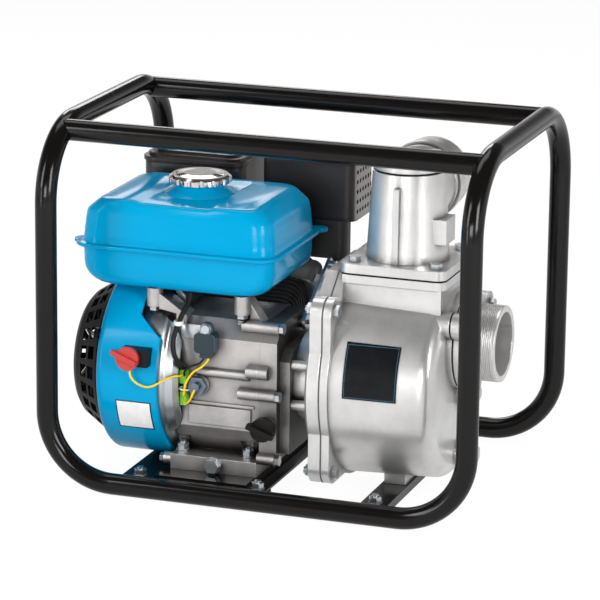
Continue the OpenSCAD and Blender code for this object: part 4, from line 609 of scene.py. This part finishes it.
class PUMP_OT_stage(bpy.types.Operator):
    """Camera, soft studio light, white backdrop and pale floor"""

    bl_idname = "pump.stage"
    bl_label = "Stage"

    def execute(self, context):
        scene = context.scene
        scene.view_settings.view_transform = "Standard"
        self.camera(scene)
        self.backdrop(scene)
        self.floor()
        for name, (place, width, height, power) in LAMPS.items():
            self.lamp(scene, name, place, width, height, power)
        return {"FINISHED"}

    def camera(self, scene):
        """A long lens at the photograph's viewing angle."""
        lens = bpy.data.cameras.new("camera")
        lens.sensor_width, lens.lens = SENSOR, LENS
        lens.clip_start, lens.clip_end = CAMERA_CLIP
        camera = bpy.data.objects.new("camera", lens)
        scene.collection.objects.link(camera)
        yaw, pitch, roll = (math.radians(turn) for turn in (VIEW_YAW, VIEW_PITCH, VIEW_ROLL))
        back = Vector((math.sin(yaw) * math.cos(pitch), -math.cos(yaw) * math.cos(pitch),
                       math.sin(pitch)))
        flat = Vector((math.cos(yaw), math.sin(yaw), 0.0))
        rise = back.cross(flat)
        right = flat * math.cos(roll) + rise * math.sin(roll)
        up = rise * math.cos(roll) - flat * math.sin(roll)
        rows = zip(right, up, back, CAMERA_PLACE)
        camera.matrix_world = Matrix((*rows, (0.0, 0.0, 0.0, 1.0)))
        scene.camera = camera

    def backdrop(self, scene):
        """A white cyclorama to the camera and in reflections, and a soft even fill."""
        world = bpy.data.worlds.new("studio")
        scene.world = world
        n = Nodes(world)
        rays = n.add("ShaderNodeLightPath").outputs
        seen = rays["Is Camera Ray"]
        for name in ("Is Glossy Ray", "Is Transmission Ray"):
            seen = n.math("MAXIMUM", seen, rays[name])
        outward = n.add("ShaderNodeTexCoord").outputs["Generated"]
        way = n.add("ShaderNodeSeparateXYZ", {0: outward}).outputs
        # It dims toward the ceiling, and toward the open front behind the camera
        shade = n.math("MULTIPLY", n.span(way["Z"], **CEILING_FALL), n.span(way["Y"], **FRONT_FALL))
        white = n.add("ShaderNodeBackground", {"Color": WHITE, "Strength": shade})
        fill = n.add("ShaderNodeBackground", {"Color": FILL_COLOUR, "Strength": FILL_STRENGTH})
        n.add("ShaderNodeOutputWorld", {"Surface": n.mix_shaders(seen, fill, white)})

    def floor(self):
        """A floor that is white to the camera and dimmer in reflections, and takes the shadow."""
        nothing_selected()
        bpy.ops.mesh.primitive_plane_add(size=FLOOR_SIZE, location=(0.0, 0.0, -FLOOR_DROP))
        floor = bpy.context.object
        floor.name = "floor"
        paint = bpy.data.materials.new("pale_floor")
        n = Nodes(paint)
        rays = n.add("ShaderNodeLightPath").outputs
        seen = n.add("ShaderNodeMath", {
            0: rays["Is Glossy Ray"], 1: FLOOR_MIRRORED, 2: rays["Is Camera Ray"],
        }, operation="MULTIPLY_ADD").outputs[0]
        matt = n.add("ShaderNodeBsdfDiffuse", {"Color": FLOOR_COLOUR})
        glow = n.add("ShaderNodeEmission", {"Strength": FLOOR_GLOW})
        share = n.span(seen, to=(0.0, FLOOR_SEEN))
        n.add("ShaderNodeOutputMaterial", {"Surface": n.mix_shaders(share, matt, glow)})
        floor.data.materials.append(paint)

    def lamp(self, scene, name, place, width, height, power):
        """One soft rectangular lamp toward the pump."""
        light = bpy.data.lights.new(name, "AREA")
        light.shape = "RECTANGLE"
        light.size, light.size_y = width, height
        light.energy = power
        lamp = bpy.data.objects.new(name, light)
        scene.collection.objects.link(lamp)
        lamp.location = place
        lamp.rotation_mode = "QUATERNION"
        lamp.rotation_quaternion = (LAMP_TARGET - Vector(place)).to_track_quat("-Z", "Y")


class PUMP_OT_finishes(bpy.types.Operator):
    """Procedural finishes for every CAD node"""

    bl_idname = "pump.finishes"
    bl_label = "Finishes"

    def execute(self, context):
        colours = context.scene.pump_colours
        self.paints(colours)
        self.castings(colours)
        self.plated(colours)
        self.mouldings(colours)
        return {"FINISHED"}

    def paints(self, c):
        dress(gloss_paint("frame_gloss", c.frame, rough=0.15, peel=0.04, edge_gain=1.6, gloss=0.27),
              "frame_front", "frame_rear", "top_rail_front", "top_rail_rear", "engine_tray",
              "pump_channel")
        dress(gloss_paint("cover_blue", c.blue, rough=0.13, peel=0.03, edge_gain=1.2, gloss=0.12),
              "tank_lower", "tank_upper", "fan_cover")
        dress(guard_paint("guard_black", (0.018, 0.013, 0.011), bare=(0.33, 0.31, 0.295),
                          metal=0.7), "muffler_guard")
        dress(guard_paint("cleaner_black", (0.010, 0.008, 0.007), bare=(0.075, 0.062, 0.057),
                          metal=0.0), "air_cleaner_case", "air_cleaner_cover")

    def castings(self, c):
        bare = {"metallic": 0.85, "rough": 0.36, "grain": 0.25, "grain_scale": 900.0,
                "cloudy": 0.70}
        dress(cast_metal("engine_casting", c.engine, edge_gain=1.45, reach=20.0, **bare),
              "crankcase", "cylinder_head", "carburettor")
        # Painted shadow: the wide reach darkens the cover's end face in the gap between engine and
        # pump, where the pump shades it
        dress(cast_metal("cover_casting", c.engine, edge_gain=1.4, reach=70.0, **bare),
              "side_cover")
        dress(cast_metal("pump_silver", c.pump, metallic=0.75, rough=0.30, grain=0.14,
                         grain_scale=1500.0, edge_gain=1.35, edge=1.6),
              "pump_adapter", "pump_casing", "suction_flange", "discharge_elbow", "prime_cap")
        dress(cast_metal("fin_black", (0.03, 0.03, 0.031), metallic=0.15, rough=0.5, grain=0.2,
                         grain_scale=900.0, edge_gain=1.8), "engine_cylinder", "rocker_cover")
        dress(cast_metal("wheel_iron", (0.17, 0.17, 0.175), metallic=0.6, rough=0.5, grain=0.25,
                         grain_scale=700.0, edge_gain=1.5), "flywheel")
        dress(cast_metal("muffler_steel", (0.02, 0.019, 0.018), metallic=0.2, rough=0.5,
                         grain=0.15, grain_scale=800.0, edge_gain=1.8), "muffler")

    def plated(self, c):
        dress(plated_metal("bright_zinc", c.zinc, rough=0.30, tint=(0.56, 0.60, 0.64)),
              "base_bolts", "engine_bolts", "drain_bolt", "side_plate", "starter_cup",
              "throttle_lever", "pump_bolts", "pump_drain_plug", "spark_plug")
        dress(plated_metal("dark_zinc", (0.20, 0.24, 0.28), rough=0.24, tint=(0.16, 0.22, 0.28)),
              "level_switch")
        dress(plated_metal("cap_chrome", (0.70, 0.675, 0.66), rough=0.09, tint=(0.60, 0.55, 0.52)),
              "fuel_cap")
        dress(plated_metal("machined_steel", (0.48, 0.48, 0.49), rough=0.28,
                           tint=(0.42, 0.41, 0.40)), "crankshaft")

    def mouldings(self, c):
        dress(moulded("black_moulding", c.plastic, rough=0.42, grain=0.16),
              "recoil_housing", "starter_reel", "starter_handle", "switch_body", "oil_cap",
              "choke_lever", "fuel_lever", "volute", "impeller", "wire_sleeve", "wire_yellow",
              "starter_rope")
        dress(moulded("knob_red", c.knob, rough=0.30, grain=0.3, edge_gain=1.35,
                      grain_scale=800.0, gloss=0.5), "switch_knob")
        # Its edges are painted light blue, as highlights
        dress(moulded("alert_case", c.alert, rough=0.12, grain=0.05, edge_gain=9.0, edge=1.8,
                      gloss=0.5), "oil_alert_unit")
        dress(moulded("seal_rubber", (0.008, 0.008, 0.008), rough=0.65, grain=0.2),
              "oil_cap_seal", "fuel_cap_gasket", "shaft_seal", "suction_gasket", "suction_flap",
              "elbow_gasket", "prime_cap_seal")
        dress(moulded("fibre_gasket", (0.10, 0.10, 0.10), rough=0.8, grain=0.3), "pump_gasket")
        dress(moulded("connector_green", c.sleeve, rough=0.35, grain=0.05, edge_gain=1.3),
              "wire_connectors")


class PUMP_OT_tank(bpy.types.Operator):
    """Pressed fuel tank: two smooth halves, their seam with its ears, and the filler neck"""

    bl_idname = "pump.tank"
    bl_label = "Fuel tank"

    def execute(self, context):
        paint = bpy.data.materials["cover_blue"]
        top = self.half("tank_top_half", TOP_RINGS, 1.0)
        self.press_pan(top)
        for at in EARS:
            self.merge(top, self.ear(at, 1.0), "UNION")
        self.merge(top, self.neck(), "UNION")
        self.finish(top, paint, "tank_upper")
        low = self.half("tank_low_half", LOW_RINGS, -1.0)
        for at in EARS:
            self.merge(low, self.ear(at, -1.0), "UNION")
        self.merge(low, self.fan_relief(), "DIFFERENCE")
        self.finish(low, paint, "tank_lower")
        return {"FINISHED"}

    def half(self, name, rings, way):
        """One half: the seam's outline drawn up or down through its rings."""
        nothing_selected()
        bpy.ops.mesh.primitive_plane_add(size=2.0, location=TANK)
        piece = begin(name)
        size = tuple(side * MM for side in FLANGE_HALF)
        stretch((*size, 1.0), TANK)
        bpy.ops.mesh.bevel(offset=FLANGE_CORNER * MM, segments=CORNER_SEGMENTS, affect="VERTICES")
        bpy.ops.mesh.select_all(action="SELECT")
        height = 0.0
        for up, less_x, less_y in rings:
            new = ((TANK_HALF[0] - less_x) * MM, (TANK_HALF[1] - less_y) * MM)
            self.ring(way * (up - height) * MM, new[0] / size[0], new[1] / size[1], TANK)
            size, height = new, up
        return self.close(piece)

    def ring(self, rise, wide, deep, centre):
        """Draws the last outline on to the next ring."""
        draw_out((0.0, 0.0, rise))
        stretch((wide, deep, 1.0), centre)

    def close(self, piece):
        """Ends a shape that is still to be merged."""
        face_outward()
        apply_place()
        return piece

    def press_pan(self, piece):
        """Cuts the top along the pan's edges and sets the inside down."""
        bpy.ops.object.mode_set(mode="EDIT")
        inner = {"left": NECK.x + PAN["left"] * MM, "right": NECK.x + PAN["right"] * MM,
                 "rear": NECK.y + PAN["rear"] * MM}
        slope = PAN["slope"] * MM
        for side, out in (("left", -1.0), ("right", 1.0), ("rear", 1.0)):
            for at in (inner[side], inner[side] + out * slope):
                bpy.ops.mesh.select_all(action="SELECT")
                along_x = side != "rear"
                bpy.ops.mesh.bisect(plane_co=(at, 0.0, 0.0) if along_x else (0.0, at, 0.0),
                                    plane_no=(1.0, 0.0, 0.0) if along_x else (0.0, 1.0, 0.0))
        near = PAN_SLACK * MM
        pick(piece, lambda v: (v.co.z > TANK.z + PAN_ABOVE * MM
                               and inner["left"] - near < v.co.x < inner["right"] + near
                               and v.co.y < inner["rear"] + near), "VERT")
        bpy.ops.transform.translate(value=(0.0, 0.0, -PAN["depth"] * MM), orient_type="GLOBAL")
        bpy.ops.object.mode_set(mode="OBJECT")

    def ear(self, at, way):
        """A round tongue of the seam, with softened rims."""
        nothing_selected()
        middle = Vector((at[0] * MM, at[1] * MM, TANK.z + way * EAR_THICK / 2 * MM))
        bpy.ops.mesh.primitive_cylinder_add(vertices=EAR_SIDES, radius=EAR_RADIUS * MM,
                                            depth=EAR_THICK * MM, location=middle)
        piece = begin("seam_ear")
        level = 0.1 * MM
        pick(piece, lambda edge: abs(edge.verts[0].co.z - edge.verts[1].co.z) < level, "EDGE")
        bpy.ops.mesh.bevel(offset=EAR_RIM * MM, segments=2, affect="EDGES")
        return self.close(piece)

    def neck(self):
        """The filler neck, flared at its foot and rolled in at its lip."""
        nothing_selected()
        start, radius = NECK_RINGS[0]
        bpy.ops.mesh.primitive_circle_add(
            vertices=NECK_SIDES, radius=radius * MM, fill_type="NGON",
            location=(NECK.x, NECK.y, NECK.z + start * MM))
        piece = begin("filler_neck")
        for up, wide in NECK_RINGS[1:]:
            self.ring((up - start) * MM, wide / radius, wide / radius, NECK)
            start, radius = up, wide
        return self.close(piece)

    def fan_relief(self):
        """The hollow that the fan cover sits in, as a cutter."""
        nothing_selected()
        low, high = (end * MM for end in RELIEF_REACH)
        bpy.ops.mesh.primitive_cylinder_add(
            vertices=BENT_SIDES, radius=RELIEF_RADIUS * MM, depth=high - low, rotation=ALONG_X,
            location=((low + high) / 2, CRANK.y, CRANK.z))
        return self.close(begin("fan_relief"))

    def merge(self, piece, other, how):
        """Joins the other shape to the piece, or cuts it out."""
        apply_modifier(piece, "BOOLEAN", object=other, operation=how, solver="EXACT")
        bpy.data.objects.remove(other)

    def finish(self, piece, paint, node):
        """Merges the doubles and puts the half in its node's place."""
        bpy.ops.object.mode_set(mode="EDIT")
        bpy.ops.mesh.select_all(action="SELECT")
        bpy.ops.mesh.remove_doubles(threshold=MERGE_NEAR * MM)
        settle(piece, paint, smooth=32.0)
        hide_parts(node)


class PUMP_OT_threads(bpy.types.Operator):
    """Pipe threads on the suction and outlet ends"""

    bl_idname = "pump.threads"
    bl_label = "Pipe threads"

    def execute(self, context):
        sizes = context.scene.pump_sizes
        metal = bpy.data.materials["pump_silver"]
        self.ridge("suction_thread", SUCTION, "X", sizes, metal)
        self.ridge("outlet_thread", OUTLET, "Y", sizes, metal)
        return {"FINISHED"}

    def ridge(self, name, start, axis, sizes, metal):
        """One ridge wound round a pipe end from its profile."""
        nothing_selected()
        sink = THREAD_SINK * MM
        foot = sizes.thread_radius - sink
        bpy.ops.mesh.primitive_plane_add(size=sizes.thread_pitch, location=start)
        piece = begin(name)
        # The plane is stood up along the pipe's axis, on the pipe's wall, and its outer edge
        # drawn to a crest
        shape = bmesh.from_edit_mesh(piece.data)
        for point in shape.verts:
            along, out = (point.co.x, point.co.y) if axis == "X" else (point.co.y, point.co.x)
            crest = out > 0
            length = along * (THREAD_CREST if crest else THREAD_FOOT)
            height = foot + (sizes.thread_height + sink if crest else 0.0)
            point.co = (length, 0.0, height) if axis == "X" else (0.0, length, height)
        bmesh.update_edit_mesh(piece.data)
        bpy.ops.object.mode_set(mode="OBJECT")
        turns = int(sizes.thread_length / sizes.thread_pitch)
        apply_modifier(piece, "SCREW", axis=axis, screw_offset=sizes.thread_pitch,
                       iterations=turns, steps=THREAD_STEPS, render_steps=THREAD_STEPS,
                       use_merge_vertices=False, use_normal_calculate=True)
        bpy.ops.object.mode_set(mode="EDIT")
        settle(piece, metal, smooth=30.0)


class PUMP_OT_wires(bpy.types.Operator):
    """Wires between switch, alert unit and level switch"""

    bl_idname = "pump.wires"
    bl_label = "Engine wires"

    def execute(self, context):
        sizes, colours = context.scene.pump_sizes, context.scene.pump_colours
        thin = sizes.wire_width
        yellow = moulded("wire_sheath_yellow", colours.wire, rough=0.35, grain=0.03, edge_gain=1.2)
        black = moulded("wire_sheath_black", (0.01, 0.01, 0.01), rough=0.38, grain=0.05)
        sleeve = cord("engine_wire_sleeve", SLEEVE_ROUTE, sizes.sleeve_width, black)
        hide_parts("wire_sleeve")
        earth = cord("earth_wire", EARTH_ROUTE, thin, yellow)
        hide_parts("wire_yellow")
        cord("alert_wire_yellow", ALERT_YELLOW_ROUTE, thin, yellow)
        cord("alert_wire_black", ALERT_BLACK_ROUTE, thin, black)
        cord("level_wire", LEVEL_ROUTE, thin, yellow)
        return {"FINISHED"}


class PUMP_OT_rope(bpy.types.Operator):
    """Twisted starter rope between the housing and its handle"""

    bl_idname = "pump.rope"
    bl_label = "Starter rope"

    def execute(self, context):
        sizes, colours = context.scene.pump_sizes, context.scene.pump_colours
        low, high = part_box("starter_rope")
        nothing_selected()
        bpy.ops.mesh.primitive_circle_add(
            vertices=ROPE_SIDES, radius=sizes.rope_width / 2, fill_type="NGON",
            location=(ROPE.x, low.y, ROPE.z), rotation=FACING_FRONT)
        piece = begin("starter_rope_braid")
        # Every second pair of points is drawn in, as the valley between two strands
        shape = bmesh.from_edit_mesh(piece.data)
        for i, point in enumerate(shape.verts):
            point.co *= 1.0 if i % 4 in (0, 1) else STRAND_VALLEY
        bmesh.update_edit_mesh(piece.data)
        length = high.y - low.y - ROPE_SPARE * MM
        for _ in range(ROPE_STEPS):
            draw_out((0.0, length / ROPE_STEPS, 0.0))
            bpy.ops.transform.rotate(value=math.radians(ROPE_TWIST), orient_axis="Y",
                                     orient_type="GLOBAL", center_override=(ROPE.x, 0.0, ROPE.z))
        settle(piece, woven("rope_braid", colours.rope), body=None, smooth=40.0)
        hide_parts("starter_rope")
        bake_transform(piece)
        return {"FINISHED"}


class PUMP_OT_plates(bpy.types.Operator):
    """Thin sheet trim: two bare plates, a washer plate, the side plate's lip, and the tray's lip
    that also stands in for the shade under the tray
    """

    bl_idname = "pump.plates"
    bl_label = "Plates and lips"

    def execute(self, context):
        thick, colours = context.scene.pump_sizes.plate_thickness, context.scene.pump_colours
        dark = bordered("plate_dark", colours.plate, border=(0.035, 0.10, 0.14), gloss=0.2,
                        **CASING_LINE)
        pale = bordered("plate_pale", colours.pale_plate, border=(0.006, 0.006, 0.007), gloss=0.4,
                        **COVER_LINE)
        zinc = bpy.data.materials["bright_zinc"]
        black = bpy.data.materials["frame_gloss"]
        self.bent("casing_plate", CASING, thick, dark, "black_plastic", **CASING_PLATE)
        self.bent("cover_plate", CRANK, thick, pale, "grey_plastic", **COVER_PLATE)
        self.bent("plate_lip", CRANK, thick, zinc, "zinc", **PLATE_LIP)
        self.flat("cleaner_washer", zinc, "zinc", **WASHER)
        # The tray's lip closes the hollow front of the tray, and its black stands in for the shade
        # under the tray, where the floor would glow
        self.lip("tray_shade_lip", black, "frame_paint", **TRAY_SHADE_LIP)
        return {"FINISHED"}

    def bent(self, name, centre, thick, material, slot, reach, angles, radii):
        """A thin plate bent round an axis: a band of a cone, cut to its angles and thickened."""
        nothing_selected()
        low, high = (end * MM for end in reach)
        bpy.ops.mesh.primitive_cone_add(
            vertices=BENT_SIDES, radius1=radii[0] * MM, radius2=radii[1] * MM, depth=high - low,
            end_fill_type="NOTHING", location=((low + high) / 2, centre.y, centre.z),
            rotation=ALONG_X)
        piece = begin(name)
        bpy.ops.object.mode_set(mode="OBJECT")
        apply_place()
        bpy.ops.object.mode_set(mode="EDIT")
        for angle, flip in zip(angles, (1.0, -1.0)):
            turn = math.radians(angle)
            bpy.ops.mesh.select_all(action="SELECT")
            # The front is -Y; angles rise from there to the top
            bpy.ops.mesh.bisect(plane_co=centre, clear_inner=True, plane_no=(
                0.0, flip * math.sin(turn), flip * math.cos(turn)))
        face_outward()
        apply_modifier(piece, "SOLIDIFY", thickness=thick, offset=1.0)
        bpy.ops.object.mode_set(mode="EDIT")
        settle(piece, material, smooth=30.0)

    def flat(self, name, material, slot, place, half, corner, thick):
        """A flat plate with rounded corners: a square pulled to its size and thickened."""
        nothing_selected()
        at = Vector(place) * MM
        bpy.ops.mesh.primitive_plane_add(size=2.0, location=at)
        piece = begin(name)
        stretch((half[0] * MM, half[1] * MM, 1.0), at)
        bpy.ops.mesh.bevel(offset=corner * MM, segments=8, affect="VERTICES")
        bpy.ops.mesh.select_all(action="SELECT")
        draw_out((0.0, 0.0, thick * MM))
        settle(piece, material, smooth=30.0)

    def lip(self, name, material, slot, place, half, ease):
        """A narrow turned-down lip of sheet metal, its edges eased."""
        nothing_selected()
        at = Vector(place) * MM
        bpy.ops.mesh.primitive_cube_add(size=2.0, location=at)
        piece = begin(name)
        stretch(tuple(side * MM for side in half), at)
        bpy.ops.mesh.bevel(offset=ease * MM, segments=2, affect="EDGES")
        settle(piece, material, smooth=30.0)


class PUMP_OT_ties(bpy.types.Operator):
    """Clip on the wire sleeve and tie round the connectors"""

    bl_idname = "pump.ties"
    bl_label = "Wire clip and tie"

    def execute(self, context):
        white = moulded("tie_white", (0.74, 0.74, 0.72), rough=0.35, grain=0.05, edge_gain=1.1)
        self.strap("sleeve_clip", white, **SLEEVE_CLIP)
        self.strap("connector_tie", white, **CONNECTOR_TIE)
        return {"FINISHED"}

    def strap(self, name, material, place, size, height, wall):
        """A flat strap: a round ring pulled to its size, thickened and bevelled."""
        nothing_selected()
        at = Vector(place) * MM
        # The ring starts 1 mm across
        bpy.ops.mesh.primitive_cylinder_add(
            vertices=STRAP_SIDES, radius=0.5 * MM, depth=height * MM, end_fill_type="NOTHING",
            location=at)
        piece = begin(name)
        stretch((*size, 1.0), at)
        bpy.ops.object.mode_set(mode="OBJECT")
        apply_modifier(piece, "SOLIDIFY", thickness=wall * MM, offset=1.0)
        apply_modifier(piece, "BEVEL", width=STRAP_EASE * MM, segments=2, limit_method="ANGLE")
        bpy.ops.object.mode_set(mode="EDIT")
        settle(piece, material)


class PUMP_OT_bracket(bpy.types.Operator):
    """Zinc bracket and screw that hold the alert unit"""

    bl_idname = "pump.bracket"
    bl_label = "Alert bracket"

    def execute(self, context):
        zinc = bpy.data.materials["bright_zinc"]
        self.bracket("alert_bracket", zinc)
        self.screw("alert_screw", zinc)
        return {"FINISHED"}

    def bracket(self, name, zinc):
        """A small plate whose left end is drawn out to a tongue under the wire clip."""
        nothing_selected()
        bpy.ops.mesh.primitive_cube_add(size=1.0, location=BRACKET)
        piece = begin(name)
        stretch(tuple(side * MM for side in BRACKET_SIZE), BRACKET)
        pick(piece, lambda face: face.normal.x < -0.9)
        draw_out((-TONGUE_LENGTH * MM, 0.0, 0.0))
        stretch((1.0, 1.0, TONGUE_SHARE), (BRACKET.x, BRACKET.y, BRACKET.z + TONGUE_RISE * MM))
        bpy.ops.object.mode_set(mode="OBJECT")
        apply_modifier(piece, "BEVEL", width=BRACKET_EASE * MM, segments=2, limit_method="ANGLE")
        bpy.ops.object.mode_set(mode="EDIT")
        settle(piece, zinc)

    def screw(self, name, zinc):
        """A screw whose head stands in its washer, over the lug of the unit."""
        nothing_selected()
        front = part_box("oil_alert_unit")[0].y
        at = Vector((SCREW_PLACE[0] * MM, front + SCREW_INSET * MM, SCREW_PLACE[1] * MM))
        bpy.ops.mesh.primitive_cylinder_add(
            vertices=SCREW_SIDES, radius=SCREW_RADIUS * MM, depth=SCREW_DEPTH * MM, location=at,
            rotation=FACING_FRONT)
        piece = begin(name)
        # The front face is set in to the head, and the head raised
        pick(piece, lambda face: face.normal.z > 0.9)
        bpy.ops.mesh.inset(thickness=SCREW_RIM * MM, depth=-SCREW_SINK * MM)
        draw_out((0.0, -HEAD_RISE * MM, 0.0))
        stretch((HEAD_SHARE, 1.0, HEAD_SHARE), at)
        settle(piece, zinc, smooth=40.0)


class PUMP_PT_looks(bpy.types.Panel):
    """Lists the steps that dress the pump"""

    bl_idname = "PUMP_PT_looks"
    bl_label = "Engine pump"
    bl_space_type = "VIEW_3D"
    bl_region_type = "UI"
    bl_category = "Engine pump"

    def draw(self, context):
        for step in STEPS:
            self.layout.operator(step.bl_idname, text=step.bl_label)
        for group in (context.scene.pump_sizes, context.scene.pump_colours):
            box = self.layout.box()
            for key in group.__annotations__:
                box.prop(group, key)


STEPS = (PUMP_OT_stage, PUMP_OT_finishes, PUMP_OT_tank, PUMP_OT_wires, PUMP_OT_rope,
         PUMP_OT_threads, PUMP_OT_plates, PUMP_OT_ties, PUMP_OT_bracket)
CLASSES = (PumpSizes, PumpColours, *STEPS, PUMP_PT_looks)


def register():
    for item in CLASSES:
        bpy.utils.register_class(item)
    bpy.types.Scene.pump_sizes = bpy.props.PointerProperty(type=PumpSizes)
    bpy.types.Scene.pump_colours = bpy.props.PointerProperty(type=PumpColours)


def unregister():
    del bpy.types.Scene.pump_colours
    del bpy.types.Scene.pump_sizes
    for item in reversed(CLASSES):
        bpy.utils.unregister_class(item)


def main():
    register()
    for step in STEPS:
        group, name = step.bl_idname.split(".")
        getattr(getattr(bpy.ops, group), name)()
    nothing_selected()


if __name__ == "__main__":
    main()
